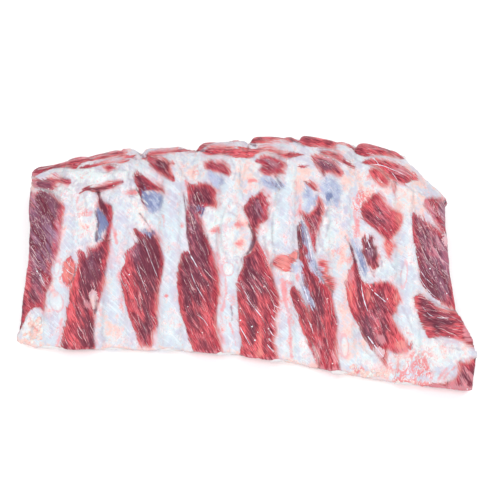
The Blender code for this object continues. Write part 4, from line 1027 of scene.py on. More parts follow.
def oval_distance(pixels):
    """Distance in mm to the nearest outlined oval's edge: positive inside."""
    result = np.full(len(pixels), -FARTHEST)
    for x, y, half_width, half_height, tilt in OVALS.values():
        turn = math.radians(tilt)
        side, down = pixels[:, 0] - x, pixels[:, 1] - y
        across = (side * math.cos(turn) + down * math.sin(turn)) / half_width
        lengthwise = (down * math.cos(turn) - side * math.sin(turn)) / half_height
        inside = (1 - np.hypot(across, lengthwise)) * half_width * PIXEL_MM
        result = np.maximum(result, inside)
    return result


def noise_at(points, feature, seed=0.0):
    """Noise from about -1 to 1 at rows of points in mm, with features of the given size in mm."""
    rows = points / np.array(feature) + seed
    return np.array([noise.noise(row) for row in rows.tolist()])


def two_noises(points, features, seed, fine_seed):
    """A coarse noise and a fine one together, each with its own share."""
    (coarse, share), (fine, fine_share) = features
    return share * noise_at(points, coarse, seed) + fine_share * noise_at(points, fine, fine_seed)


def smooth_step(value, low, high):
    """0 below low, 1 above high, smooth between."""
    t = np.clip((value - low) / (high - low), 0, 1)
    return t * t * (3 - 2 * t)


# ---------------------------------------------------------------- the skin of the slab
class Skin:
    """The slab's surface as arrays: places in mm, and what is drawn on them."""

    def __init__(self):
        stations = station_list()
        rows, alongs, ribs, caps = [], [], [], []
        for rib, inset, cap in stations:
            points, along, part = section(rib, inset)
            rows.append(points + (middle_of_section(points, rib) - points) * cap)
            alongs.append(along)
            ribs.append(np.full(len(along), rib))
            caps.append(np.full(len(along), 1.0 if cap else 0.0))
        self.grid = np.array(rows)
        self.shape = self.grid.shape[:2]
        self.points = self.grid.reshape(-1, 3)
        self.along = np.concatenate(alongs)
        self.rib = np.concatenate(ribs)
        self.cap = np.concatenate(caps)
        self.part = np.tile(part, len(stations))
        self.normals = self.outward().reshape(-1, 3)
        self.unroll()
        self.draw()

    def outward(self):
        """Outward direction at each place, from its neighbours."""
        lengthwise = np.gradient(self.grid, axis=0)
        ring = np.roll(self.grid, -1, 1) - np.roll(self.grid, 1, 1)
        out = np.cross(lengthwise, ring)
        return out / np.maximum(np.linalg.norm(out, axis=-1, keepdims=True), 1e-9)

    def unroll(self):
        """Pixels of each place; past the far horizon they run on as if the surface were unrolled."""
        pixels = to_pixels(self.points).reshape(*self.shape, 2)
        outer = TOP_POINTS + FAR_POINTS
        horizon = pixels[:, :outer, 1].argmin(1)
        index = np.arange(self.shape[1])
        past = (index[None] > horizon[:, None]) & (index[None] < outer)
        step = np.linalg.norm(np.diff(self.grid[:, :outer], axis=1, prepend=self.grid[:, :1]), axis=-1)
        run = np.concatenate([step.cumsum(1), np.zeros((self.shape[0], self.shape[1] - outer))], 1)
        at_horizon = np.take_along_axis(run, horizon[:, None], 1)
        self.beyond = np.where(past, run - at_horizon, 0.0).reshape(-1)
        top_y = np.take_along_axis(pixels[..., 1], horizon[:, None], 1)
        pixels[..., 1] = np.where(past, top_y - (run - at_horizon) / PIXEL_MM, pixels[..., 1])
        self.pixels = pixels.reshape(-1, 2)
        from_top = self.pixels[:, 1] - np.repeat(top_y[:, 0], self.shape[1])
        # crown: a painted pale sheen along the seen top edge, where the surface turns from the view.
        self.crown = np.exp(-((from_top / SHEEN_RIM_PIXELS) ** 2)) * (self.part < 2)
        under = self.part == 2
        end_on = np.abs(self.normals[:, 0]) * (self.cap > 0)
        past_far = smooth_step(self.beyond, *PAST_FAR_EDGE)
        self.unseen = np.maximum.reduce([past_far, under.astype(float), smooth_step(end_on, *END_ON)])

    def draw(self):
        """Works out every drawn mark at every place."""
        pixels, hide, seen = self.pixels, self.unseen, 1 - self.unseen
        mapped = [inside_distance(pixels, outline) for _slope, outline in LEAN.values()]
        nearest = np.argmax(mapped, 0)
        slopes = np.radians([slope for slope, _outline in LEAN.values()])[nearest]
        x, y = pixels.T * PIXEL_MM
        along = x * np.cos(slopes) + y * np.sin(slopes)
        across = y * np.cos(slopes) - x * np.sin(slopes) + FIBRE_WANDER * noise_at(self.points, 24.0, 17.0)
        across = across + FIBRE_STRAY * noise_at(self.points, 9.0, 19.0)
        seen_fibre = np.stack([across + nearest * MUSCLE_APART, along, nearest * MUSCLE_LAYER], -1)
        hidden_lean, hidden_fibre = self.hidden()
        wobble = EDGE_WOBBLE * noise_at(self.points, 5.0)
        self.lean = np.max(mapped, 0) * seen + hidden_lean * hide + wobble
        self.fibre = np.where(hide[:, None] > 0.5, hidden_fibre, seen_fibre)
        self.silver = self.marks_inside(SILVER, seen)
        self.fat = self.marks_inside(FAT, seen)
        self.oval = oval_distance(pixels) * seen - FARTHEST * hide
        threads = [(THREAD_HALF_WIDTH, line) for line in THREADS]
        creases = [(0.0, line) for line in CREASES]
        for name, lines in zip(LINE_NAMES, (CLEFTS, VEINS, threads, creases)):
            setattr(self, name, line_distance(pixels, lines) * seen + FARTHEST * hide)
        for name, rows in SPOTS.items():
            setattr(self, name, spots(pixels, rows) * seen)
        # The sawn rim is painted paler against the shade there and is thinner meat; the seen top edge gets
        # a painted pale sheen.
        rim = SAWN_RIM_LIGHT * (1 - smooth_step(self.along, 0.0, SAWN_RIM))
        self.warm += (self.crown * SHEEN_RIM_WARMTH + rim) * seen + HIDDEN_WARMTH * hide
        self.cream += HIDDEN_CREAM * hide
        self.veiled += np.where(self.part == 2, UNDER_VEIL, HIDDEN_VEIL) * hide
        # The right side of each bay, where the lean thins to soft pink edges; on its left side the darker
        # core is painted shade under the membrane's edge.
        self.right_side = smooth_step(self.rib - np.floor(self.rib), *RIGHT_SIDE) * seen

    def marks_inside(self, outlines, seen):
        """Distance in mm to the nearest outline's edge: positive inside, and far off where unseen."""
        nearest = np.max([inside_distance(self.pixels, outline) for outline in outlines.values()], 0)
        return nearest * seen - FARTHEST * (1 - seen)

    def hidden(self):
        """Lean meat and its fibres on the far face, the underside and the ends."""
        x, y, z = self.points.T
        drift = noise_at(self.points, HIDDEN_DRIFT, 3.0)
        far = FAR_SWING * np.sin(2 * math.pi * z / FAR_APART + FAR_BEND * drift) + FAR_LEAN
        far_along = np.stack([z * 1.3 + FAR_PATTERN, x, y * 0.1], -1)
        tilted = 2 * math.pi * z / END_APART + y / END_TILT
        ends = END_SWING * np.sin(tilted + END_BEND * drift) + END_LEAN
        ends_along = np.stack([z + END_PATTERN, y, x * 0.1], -1)
        from_bay = 0.5 - np.abs(self.rib - np.floor(self.rib) - 0.5)
        under = (from_bay - UNDER_RIM) * UNDER_RISE + UNDER_BEND * drift
        under_along = np.stack([x * 0.8 - y * 0.5 + UNDER_PATTERN, y + x * 0.4, z * 0.1], -1)
        lean = np.where(self.part == 2, under, far)
        fibre = np.where((self.part == 2)[:, None], under_along, far_along)
        on_end = (self.cap > 0) & (np.abs(self.normals[:, 0]) > 0.5)
        return np.where(on_end, ends, lean), np.where(on_end[:, None], ends_along, fibre)

    def carve(self, settings):
        """Moves the places out or in by the relief of what is drawn there."""
        lean = smooth_step(self.lean, *LEAN_RISE)
        belly = smooth_step(self.lean, *BELLY_RISE)
        fat = smooth_step(self.fat, *FAT_RISE)
        silver = smooth_step(self.silver, *SILVER_RISE)
        oval = smooth_step(self.oval, *OVAL_RISE)
        cleft = 1 - smooth_step(self.cleft, *CLEFT_RISE)
        bundles = two_noises(self.fibre, BUNDLES, 1.0, 5.0)
        lumps = two_noises(self.points, LUMPS, 7.0, 9.0)
        folds = two_noises(self.points, FOLDS, 11.0, 13.0)
        swell = noise_at(self.points, SWELLS, 15.0)
        # The hollows of the lumps and folds, where painted shade darkens the fat.
        self.crevice_shade = smooth_step(-lumps - 0.4 * folds, *CREVICE_SHADE_RISE)
        height = swell * settings.swell + folds * settings.wrinkles * (1 - lean)
        height += lean * (-settings.lean_step + bundles * settings.bundle_ridge)
        height += belly * settings.lean_belly
        height += fat * (settings.fat_thickness + np.clip(self.lean, 0, 1) * settings.lean_step)
        height += np.clip(self.cream + self.warm, 0, 1) * (1 - lean) * lumps * settings.fat_lumps
        height -= silver * settings.silver_depth * (1 - fat)
        height -= cleft * settings.cleft_depth
        crease = 1 - smooth_step(self.crease + lumps, *CREASE_RISE)
        height -= crease * settings.crease_depth * (1 - lean)
        height += oval * settings.wrinkles * OVAL_SWELL
        beside = np.maximum(np.abs(bone_side(self.rib, self.along)) - 1, 0)
        deepest = (DEEPEST_OVER_BONE - DEEPER_BESIDE_BONE * beside) * MM
        height = np.where(self.part == 0, np.maximum(height, deepest), height)
        resting = smooth_step(self.points[:, 2], *FLOOR_RISE)
        self.points = self.points + self.normals * (height / MM * resting)[:, None]
        self.points[:, 2] = np.maximum(self.points[:, 2], 0.0)

    def make_object(self, finish):
        """The closed skin: a grid whose long sides are bridged and whose ends are filled."""
        rings, round_ = self.shape
        shape = bmesh.new()
        bmesh.ops.create_grid(shape, x_segments=round_ - 1, y_segments=rings - 1, size=1.0)
        for vertex, place in zip(shape.verts, (self.points * MM).tolist()):
            vertex.co = place
        shape.verts.ensure_lookup_table()
        firsts = {shape.verts[n * round_] for n in range(rings)}
        lasts = {shape.verts[n * round_ + round_ - 1] for n in range(rings)}
        sides = [e for e in shape.edges if firsts.issuperset(e.verts) or lasts.issuperset(e.verts)]
        bmesh.ops.bridge_loops(shape, edges=sides)
        bmesh.ops.holes_fill(shape, edges=[e for e in shape.edges if e.is_boundary], sides=0)
        bmesh.ops.recalc_face_normals(shape, faces=shape.faces)
        piece = make_piece(SKIN_NAME, shape, [finish])
        for name in MARK_NAMES:
            layer = piece.data.attributes.new(name, "FLOAT", "POINT")
            layer.data.foreach_set("value", getattr(self, name).astype(np.float32))
        layer = piece.data.attributes.new("fibre", "FLOAT_VECTOR", "POINT")
        layer.data.foreach_set("vector", self.fibre.astype(np.float32).ravel())
        return piece


def make_piece(name, shape, finishes):
    """A smooth object from a bmesh, at the origin, with its materials."""
    mesh = bpy.data.meshes.new(name)
    shape.to_mesh(mesh)
    shape.free()
    mesh.shade_smooth()
    piece = bpy.data.objects.new(name, mesh)
    bpy.context.scene.collection.objects.link(piece)
    for finish in finishes:
        mesh.materials.append(finish)
    return piece


# ---------------------------------------------------------------- materials
class Socket:
    """A node's output that takes part in sums; each operator adds a Math node."""

    def __init__(self, recipe, socket):
        self.recipe = recipe
        self.socket = socket

    def __add__(self, other):
        return self.recipe.maths("ADD", self, other)

    def __sub__(self, other):
        return self.recipe.maths("SUBTRACT", self, other)

    def __rsub__(self, other):
        return self.recipe.maths("SUBTRACT", other, self)

    def __mul__(self, other):
        return self.recipe.maths("MULTIPLY", self, other)

    __radd__ = __add__
    __rmul__ = __mul__


class Recipe:
    """The nodes of one material."""

    def __init__(self, name):
        self.material = bpy.data.materials.new(name)
        self.material.use_nodes = True
        self.tree = self.material.node_tree
        self.tree.nodes.clear()

    def node(self, kind, settings=None, sockets=None, output=0):
        """Adds a node, sets it, then gives its sockets their values or links."""
        made = self.tree.nodes.new(kind)
        for name, setting in (settings or {}).items():
            setattr(made, name, setting)
        for key, given in (sockets or {}).items():
            target = made.inputs[key]
            if isinstance(given, Socket):
                self.tree.links.new(given.socket, target)
            elif target.type == "RGBA":
                target.default_value = (*given, 1.0)
            else:
                target.default_value = given
        return Socket(self, made.outputs[output]) if made.outputs else None

    def maths(self, operation, a, b):
        """A Math node on two numbers or sockets."""
        return self.node("ShaderNodeMath", {"operation": operation}, {0: a, 1: b})

    def mark(self, name):
        """A number drawn on the skin."""
        return self.node("ShaderNodeAttribute", {"attribute_name": name}, output=2)

    def mix(self, factor, a, b):
        """Colour a, turning into b as the factor goes from 0 to 1."""
        return self.node("ShaderNodeMix", {"data_type": "RGBA"}, {0: factor, 6: a, 7: b}, output=2)

    def ease(self, value, low, high):
        """0 below low, 1 above high, smooth between."""
        sockets = {"Value": value, "From Min": low, "From Max": high}
        return self.node("ShaderNodeMapRange", {"interpolation_type": "SMOOTHSTEP"}, sockets)

    def stretched(self, vector, feature):
        """A vector divided by a feature's size in each direction."""
        factors = tuple(1.0 / length for length in feature)
        return self.node("ShaderNodeVectorMath", {"operation": "MULTIPLY"}, {0: vector, 1: factors})

    def noise(self, vector, feature, detail=2.0, distortion=0.0):
        """Noise from 0 to 1 with features of the given sizes."""
        sockets = {
            "Vector": self.stretched(vector, feature),
            "Scale": 1.0,
            "Detail": detail,
            "Roughness": 0.55,
            "Distortion": distortion,
        }
        return self.node("ShaderNodeTexNoise", {}, sockets)

    def cell_walls(self, vector, feature):
        """Distance from the walls in a pattern of cells of the given sizes."""
        sockets = {"Vector": self.stretched(vector, feature), "Scale": 1.0}
        return self.node("ShaderNodeTexVoronoi", {"feature": "DISTANCE_TO_EDGE"}, sockets)

    def ridges(self, vector, feature, detail, distortion):
        """Noise folded at its middle: 0 on thin winding lines."""
        return self.maths("ABSOLUTE", self.noise(vector, feature, detail, distortion) - 0.5, 0.0)

    def finish(self, colour, roughness, height, relief, constants):
        """Ends the recipe: a wet surface with the given colour, roughness and fine bumps."""
        bump = self.node("ShaderNodeBump", {}, {"Strength": 1.0, "Distance": relief, "Height": height})
        sockets = {"Base Color": colour, "Roughness": roughness, "Normal": bump, **constants}
        shader = self.node("ShaderNodeBsdfPrincipled", {}, sockets)
        self.node("ShaderNodeOutputMaterial", {}, {"Surface": shader})
        return self.material


class Coats:
    """A colour under more and more coats of others."""

    def __init__(self, recipe, colour):
        self.recipe = recipe
        self.colour = colour

    def lay(self, factor, colour):
        """Lays a colour over the last coat, as thick as the factor says."""
        self.colour = self.recipe.mix(factor, self.colour, colour)


# Constants of every moist surface.
WET = {
    "Coat Weight": 0.06,
    "Coat Roughness": 0.14,
    "Specular IOR Level": 0.08,
    "IOR": 1.4,
    "Subsurface Weight": 0.12,
    "Subsurface Radius": (1.0, 0.35, 0.25),
    "Subsurface Scale": 1.5 * MM,
}
# The slant in degrees of the fine hatching in the membrane.
HATCH_SLANT = -50.0


def in_mm(recipe):
    """Object coordinates in mm."""
    place = recipe.node("ShaderNodeTexCoord", {}, output=3)
    return recipe.node("ShaderNodeVectorMath", {"operation": "MULTIPLY"}, {0: place, 1: (1 / MM,) * 3})


def lean_colour(recipe, settings, lean, fibre):
    """Colour of lean meat: thin bright edges, a dark core, streaks of fibres and thin white tissue."""
    ease, mark = recipe.ease, recipe.mark
    tone = mark("tone")
    fine = recipe.noise(fibre, (0.75, 8.0, 4.0), 2.0)
    threads = recipe.noise(fibre, (0.55, 6.0, 3.0), 1.0)
    bundles = recipe.noise(fibre, (2.6, 20.0, 4.0), 3.0, 0.5)
    broad = recipe.noise(fibre, (8.0, 26.0, 8.0), 2.0, 0.4)
    right = mark("right_side")
    depth = lean + (bundles - 0.5) * 7.0 + (fine - 0.5) * 3.0
    # Towards a bay's left side the dark core reaches nearer the edge: painted shade under the membrane's
    # edge.
    inner = lean + (1 - right) * 1.5 + (bundles - 0.5) * 7.0 + (fine - 0.5) * 3.0
    core = ease(inner - tone * 4.2 + (broad - 0.5) * 18.0 - right * 2.0, 0.0, 7.0)
    crimson = ease(tone + (broad - 0.5) * 3.6 + (bundles - 0.5) * 2.0, 0.0, 1.6)
    coats = Coats(recipe, settings.middle)
    coats.lay(core, settings.dark)
    coats.lay(crimson, settings.bright)
    streaks = ease(fine + (bundles - 0.5) * 0.8, 0.52, 0.38)
    coats.lay(streaks * 0.6, settings.dark)
    coats.lay(ease(threads, 0.48, 0.34) * 0.75, settings.deep)
    pale = mark("warm") + (bundles - 0.5) * 2.2 + (fine - 0.5) * 1.0
    coats.lay(ease(pale, 0.55, 1.0) * 0.65, settings.pink)
    calm = ease(tone, -1.2, -0.3)
    glow = ease(fine * 0.4 + bundles * 0.2 + threads * 0.4, 0.52, 0.62)
    coats.lay(glow * (0.3 + calm * 0.37), settings.light)
    thin = ease(depth, 3.4, 0.0) * ease(broad + tone * 0.08, 0.38, 0.6)
    thin = thin * (0.3 + right * 0.5)
    orange = ease(tone + (bundles - 0.5) * 1.2, 1.5, 2.4)
    coats.lay(recipe.maths("MAXIMUM", thin, orange * (0.2 + fine * 1.0)), settings.edge)
    veil = mark("veiled") * ease(bundles + (broad - 0.5) * 1.2, 0.3, 0.66)
    coats.lay(veil * 0.6, settings.veil)
    ridge = recipe.ridges(fibre, (3.0, 15.0, 5.0), 2.0, 0.7)
    marbling = ease(ridge, 0.022, 0.006) * ease(mark("veiled"), 0.2, 0.5)
    coats.lay(marbling * 0.4, settings.strand)
    thread = ease(mark("thread") + (fine - 0.5) * 2.0, 0.45, -0.25)
    coats.lay(thread * 0.38, settings.strand)
    hairs = ease(recipe.noise(fibre, (0.5, 14.0, 4.0), 1.0), 0.60, 0.74)
    places = ease(recipe.noise(fibre, (7.0, 22.0, 4.0), 1.0), 0.5, 0.68)
    coats.lay(hairs * places * (0.42 + calm * 0.23), settings.strand)
    return coats.colour, fine, bundles, broad


def pale_colour(recipe, settings, lean, place, bundles, broad):
    """Colour of the membrane and the fat that cover the ribs, with painted shade in their hollows, creases
    and wrinkles, and painted highlights on the fat.
    """
    ease, mark = recipe.ease, recipe.mark
    mottle = recipe.noise(place, (6.0, 8.0, 6.0), 4.0)
    patches = recipe.noise(place, (13.0, 24.0, 13.0), 3.0, 0.6)
    damp = recipe.noise(place, (10.0, 15.0, 10.0), 4.0, 0.8)
    grain = recipe.noise(place, (1.4, 1.4, 1.4), 3.0)
    aslant = {"Vector": place, "Rotation": (0.0, 0.0, math.radians(HATCH_SLANT))}
    turned = recipe.node("ShaderNodeMapping", {"vector_type": "POINT"}, aslant)
    hatch = recipe.noise(turned, (1.2, 16.0, 10.0), 1.0)
    ridge = recipe.ridges(place, (4.5, 11.0, 4.5), 4.0, 1.2)
    crevice_shade = mark("crevice_shade")
    cream = ease(mark("cream") + (mottle - 0.5) * 2.4 + (patches - 0.5) * 1.2, 0.1, 0.9)
    warm = mark("warm") + (mottle - 0.5) * 2.6 + (grain - 0.5) * 1.3 + (damp - 0.5) * 2.0
    lilac = mark("lilac") + (patches - 0.5) * 2.2 + (damp - 0.5) * 1.6
    coats = Coats(recipe, settings.membrane)
    coats.lay(ease(lilac, 0.2, 0.9) * 0.85, settings.lilac)
    hatch = hatch + (mottle - 0.5) * 0.3
    coats.lay(ease(hatch, 0.46, 0.66) * 0.4, settings.shine)
    near = ease(lean + (broad - 0.5) * 8.0, -8.0, 0.0)
    coats.lay(near * 0.2, settings.blush)
    coats.lay(cream * 0.85, settings.cream)
    coats.lay(ease(damp + (grain - 0.5) * 0.3, 0.52, 0.62) * 0.55, settings.cool)
    coats.lay(ease(damp + (mottle - 0.5) * 0.5, 0.47, 0.36) * 0.5, settings.lilac)
    # Painted highlights: the whitest spots on the fat.
    coats.lay(ease(mottle + (grain - 0.5) * 0.6, 0.53, 0.64) * cream * 0.7, settings.shine)
    # Painted shade in the hollows of the fat, in the blush colour.
    coats.lay(crevice_shade * (0.08 + cream * 0.32), settings.blush)
    pits = ease(grain + (mottle - 0.5) * 0.5, 0.56, 0.68) * (0.12 + cream * 0.38)
    coats.lay(pits, settings.blush)
    coats.lay(ease(warm, 0.2, 1.3) * 0.9, settings.warm)
    # Painted shade along thin wrinkle lines in the membrane.
    wrinkles = ease(ridge, 0.03, 0.006) * ease(patches + (mottle - 0.5) * 0.6, 0.42, 0.56)
    coats.lay(wrinkles * 0.55, settings.crease)
    pink = ease(patches + (mottle - 0.5) * 0.8, 0.56, 0.72) * 0.3
    coats.lay(pink, settings.blush)
    halo = ease(lean + (bundles - 0.5) * 14.0, -5.0, 1.0) * ease(broad, 0.38, 0.64)
    halo = halo * (0.2 + mark("right_side") * 0.65)
    coats.lay(halo, settings.blush)
    red = ease(mark("red") + (mottle - 0.5) * 1.9 + (grain - 0.5) * 1.5, 0.25, 1.25)
    coats.lay(red * 0.85, settings.red)
    speckled = mark("speckled") + (mottle - 0.5) * 1.6
    curls = recipe.ridges(place, (4.6, 7.5, 4.6), 0.6, 1.7)
    net = ease(curls + (grain - 0.5) * 0.06, 0.11, 0.05) * ease(speckled, 0.2, 0.8)
    # Painted shade along the creases of the fat.
    crease = ease(mark("crease") + (mottle - 0.5) * 4.0, 1.5, -0.2)
    coats.lay(crease * 0.5, settings.crease)
    vein = ease(mark("vein") + (mottle - 0.5) * 7.0 + (grain - 0.5) * 2.5, 0.9, -1.0)
    coats.lay(vein * 0.8, settings.vein)
    coats.lay(net * 0.85, settings.red)
    return coats.colour, mottle, grain


def skin_material(lean_settings, settings):
    """The whole outer face: membrane and fat, with lean meat where it is bare."""
    recipe = Recipe("meat_fat_and_membrane")
    ease, mark = recipe.ease, recipe.mark
    place = in_mm(recipe)
    fibre = recipe.node("ShaderNodeAttribute", {"attribute_name": "fibre"}, output=1)
    lean = mark("lean")
    red, fine, bundles, broad = lean_colour(recipe, lean_settings, lean, fibre)
    pale, mottle, grain = pale_colour(recipe, settings, lean, place, bundles, broad)

    feather = (bundles - 0.5) * 8.0 + (fine - 0.5) * 9.0
    feather = feather * (0.25 + ease(broad, 0.46, 0.58) * 0.75) + (grain - 0.5) * 2.0
    soft = 0.3 + mark("right_side") * 1.2
    bare = ease(lean + feather, -0.3 - soft, 0.6 + soft)
    torn = (grain - 0.5) * 4.0 + (mottle - 0.5) * 9.0
    fat = ease(mark("fat") + torn, -0.2, 0.4)
    frayed = torn + (bundles - 0.5) * 13.0 + (fine - 0.5) * 9.0
    silver = ease(mark("silver") + frayed, -2.2, 1.8)
    folds = ease(mark("tone") + (mottle - 0.5) * 3.0 + (bundles - 0.5) * 2.5, -0.7, 0.7)
    sheen = Coats(recipe, settings.silver)
    sheen.lay(folds, settings.silver_light)
    glints = ease(fine * 0.6 + grain * 0.4, 0.48, 0.60) * (0.15 + folds * 0.65)
    sheen.lay(glints, settings.membrane)
    coats = Coats(recipe, pale)
    coats.lay(bare, red)
    coats.lay(silver * (1 - fat) * 0.92, sheen.colour)
    coats.lay(fat * 0.93, pale)
    oval = mark("oval") + (grain - 0.5) * 1.2 + (mottle - 0.5) * 2.5
    coats.lay(ease(oval, -0.1, 1.0) * 0.4, settings.cream)
    rim = ease(oval, -1.0, -0.1) * ease(oval, 0.9, 0.0) * ease(mottle, 0.38, 0.5)
    coats.lay(rim * 0.7, settings.blush)
    # Painted shade in the clefts, dark maroon like the meat deep in them.
    cleft = ease(mark("cleft") + (mottle - 0.5) * 4.0 + (fine - 0.5) * 2.0, 1.2, -1.0)
    coats.lay(cleft * 0.85, settings.cleft)

    wet = 0.46 - bare * 0.08 + (grain - 0.5) * 0.25
    height = grain * 0.35 + (fine * 0.9 + bundles * 0.8) * bare + mottle * 0.4
    return recipe.finish(coats.colour, wet, height, 0.45 * MM, WET)


def bone_material(settings):
    """The hard outside of a bone, with stains of meat on it."""
    recipe = Recipe("hard_bone")
    place = in_mm(recipe)
    grain = recipe.noise(place, (1.2, 6.0, 1.2), 3.0)
    stains = recipe.noise(place, (7.0, 7.0, 7.0), 3.0)
    coats = Coats(recipe, settings.hard)
    coats.lay(recipe.ease(stains, 0.5, 0.75) * 0.5, settings.stain)
    coats.lay(recipe.ease(grain, 0.55, 0.7) * 0.3, settings.grain)
    return recipe.finish(coats.colour, 0.4 + (grain - 0.5) * 0.2, grain, 0.15 * MM, WET)


def marrow_material(settings):
    """The spongy red core at a bone's sawn end."""
    recipe = Recipe("marrow")
    place = in_mm(recipe)
    pores = recipe.cell_walls(place, (1.0, 1.0, 1.0))
    stains = recipe.noise(place, (3.0, 3.0, 3.0), 3.0)
    walls = recipe.ease(pores + (stains - 0.5) * 0.2, 0.2, 0.04)
    coats = Coats(recipe, settings.marrow)
    coats.lay(walls * 0.8, settings.hard)
    coats.lay(recipe.ease(stains, 0.5, 0.7) * 0.6, settings.blood)
    return recipe.finish(coats.colour, 0.5 - walls * 0.1, walls, 0.3 * MM, WET)


def tissue_material(name, base, tinted):
    """White strands, sinews or lumps of fat, tinted here and there."""
    recipe = Recipe(name)
    place = in_mm(recipe)
    stains = recipe.noise(place, (3.0, 3.0, 3.0), 3.0)
    grain = recipe.noise(place, (0.8, 0.8, 0.8), 2.0)
    colour = recipe.mix(recipe.ease(stains + (grain - 0.5) * 0.4, 0.42, 0.72), base, tinted)
    return recipe.finish(colour, 0.38 + (grain - 0.5) * 0.2, grain, 0.12 * MM, WET)


# ---------------------------------------------------------------- bones
def bone_centre(rib, ahead):
    """A point in mm on a bone's centreline, at a distance from the sawn edge."""
    rib = np.array(float(rib))
    y_near, depth = (float(value) for value in depth_of(rib))
    at_peak = depth * PEAK_SHARE_OF_DEPTH
    crown = float(peak_height(rib))
    if ahead <= 0:
        along, height = 0.0, NEAR_HEIGHT + ahead * SAW_UNDERCUT / NEAR_HEIGHT
    elif ahead < at_peak:
        along = PEAK_ALONG * ahead / at_peak
        height = float(arch(rib, np.array(along))[1])
    else:
        share = min((ahead - at_peak) / (depth - at_peak), 1.0)
        along = PEAK_ALONG + (1 - PEAK_ALONG) * math.asin(share) / (math.pi / 2)
        height = crown - (crown - BONE_SINK - BONE_END_HEIGHT) * share**2
    return Vector((float(rib_line_x(rib, along)), y_near + ahead, height - BONE_SINK))


def bone_ring(rib, ahead):
    """One ring round a bone, in mm; the rings turn upright towards the far face."""
    depth = float(depth_of(np.array(float(rib)))[1])
    here = bone_centre(rib, ahead)
    run = (bone_centre(rib, ahead + 1.0) - bone_centre(rib, ahead - 1.0)).normalized()
    across = Vector((1.0, 0.0, 0.0))
    across = (across - run * across.dot(run)).normalized()
    share = ahead / depth
    upright = min(max((share - BONE_UPRIGHT_FROM) / (1 - BONE_UPRIGHT_FROM), 0.0), 1.0)
    square = across.cross(run).normalized()
    up = square.lerp(Vector((0.0, 0.0, 1.0 / square.z)), upright)
    half_width = bone_half_width(share)
    ring = []
    for n in range(BONE_SIDES):
        turn = 2 * math.pi * (n + 0.5) / BONE_SIDES
        spot = Vector((math.cos(turn), rib * 3.0, math.sin(turn)))
        uneven = 1 + BONE_UNEVEN * noise.noise(here * 0.05 + spot)
        side, lift = half_width * math.cos(turn), BONE_THICKNESS / 2 * math.sin(turn)
        ring.append((here + across * side * uneven + up * lift * uneven) * MM)
    return ring


def first_ring(shape, places):
    """The edges of a ring whose vertices lie at the places."""
    ring = bmesh.ops.create_circle(shape, segments=len(places), radius=1.0)["verts"]
    for vertex, place in zip(ring, places):
        vertex.co = place
    return list(dict.fromkeys(edge for vertex in ring for edge in vertex.link_edges))


def next_ring(shape, edges, places):
    """Extrudes a ring of edges to new places, and gives the new ring's edges."""
    grown = bmesh.ops.extrude_edge_only(shape, edges=edges)["geom"]
    ring = [g for g in grown if isinstance(g, bmesh.types.BMVert)]
    for vertex, place in zip(ring, places):
        vertex.co = place
    kept = set(ring)
    return [g for g in grown if isinstance(g, bmesh.types.BMEdge) and kept.issuperset(g.verts)]


def make_bone(rib, settings, finishes):
    """A rib bone lofted along its centreline, its sawn ends inset to a hard rim round the marrow."""
    start = SAW_UNDERCUT * BONE_SINK / NEAR_HEIGHT - settings.near_end / MM
    stop = float(depth_of(np.array(float(rib)))[1]) + settings.far_end / MM
    shape = bmesh.new()
    first = edges = first_ring(shape, bone_ring(rib, start))
    for n in range(1, BONE_RINGS):
        edges = next_ring(shape, edges, bone_ring(rib, start + (stop - start) * n / (BONE_RINGS - 1)))
    ends = [bmesh.ops.contextual_create(shape, geom=rim)["faces"][0] for rim in (first, edges)]
    bmesh.ops.recalc_face_normals(shape, faces=shape.faces)
    for end in ends:
        bmesh.ops.inset_individual(shape, faces=[end], thickness=settings.wall, depth=0.0)
        bmesh.ops.inset_individual(shape, faces=[end], thickness=MARROW_RIM, depth=-settings.marrow_depth)
        end.material_index = 1
        end.smooth = False
    return make_piece(f"rib_{rib}_bone", shape, finishes)


# ---------------------------------------------------------------- strands, sinews and lumps
class Surface:
    """Finds the point of the skin that the camera sees at a pixel."""

    def __init__(self):
        skin = bpy.data.objects[SKIN_NAME]
        self.tree = BVHTree.FromObject(skin, bpy.context.evaluated_depsgraph_get())

    def at(self, x, y):
        """(point, outward normal) in metres at a pixel, or None off the slab."""
        focus = VIEW_PIXELS * VIEW_LENS / VIEW_SENSOR
        ray = VIEW_RIGHT * (x - VIEW_CENTRE) + VIEW_UP * (VIEW_CENTRE - y) - VIEW_BACK * focus
        point, normal, _index, _distance = self.tree.ray_cast(VIEW_PLACE * MM, ray.normalized())
        return (point, normal) if point else None


def lay_tube(shape, surface, line, half_width, half_thickness, sides, sink):
    """A flattened tube with pointed ends, laid on the skin along a line of pixels."""
    found = [surface.at(x, y) for x, y in line]
    if None in found or len(found) < 3:
        return
    last = len(found) - 1
    turns = [2 * math.pi * side / sides for side in range(sides)]
    edges = None
    for n, (point, normal) in enumerate(found):
        run = (found[min(n + 1, last)][0] - found[max(n - 1, 0)][0]).normalized()
        across = normal.cross(run).normalized()
        taper = max(math.sin(math.pi * (n + 0.35) / (last + 0.7)), 0.0) ** TUBE_TAPER
        taper *= 1 + TUBE_UNEVEN * noise.noise(point / TUBE_UNEVEN_LENGTH)
        base = point - normal * (half_thickness * sink)
        side, lift = across * half_width * taper, normal * half_thickness * taper
        places = [base + side * math.cos(turn) + lift * math.sin(turn) for turn in turns]
        if edges:
            edges = next_ring(shape, edges, places)
        else:
            first = edges = first_ring(shape, places)
    for rim in (first, edges):
        bmesh.ops.contextual_create(shape, geom=rim)


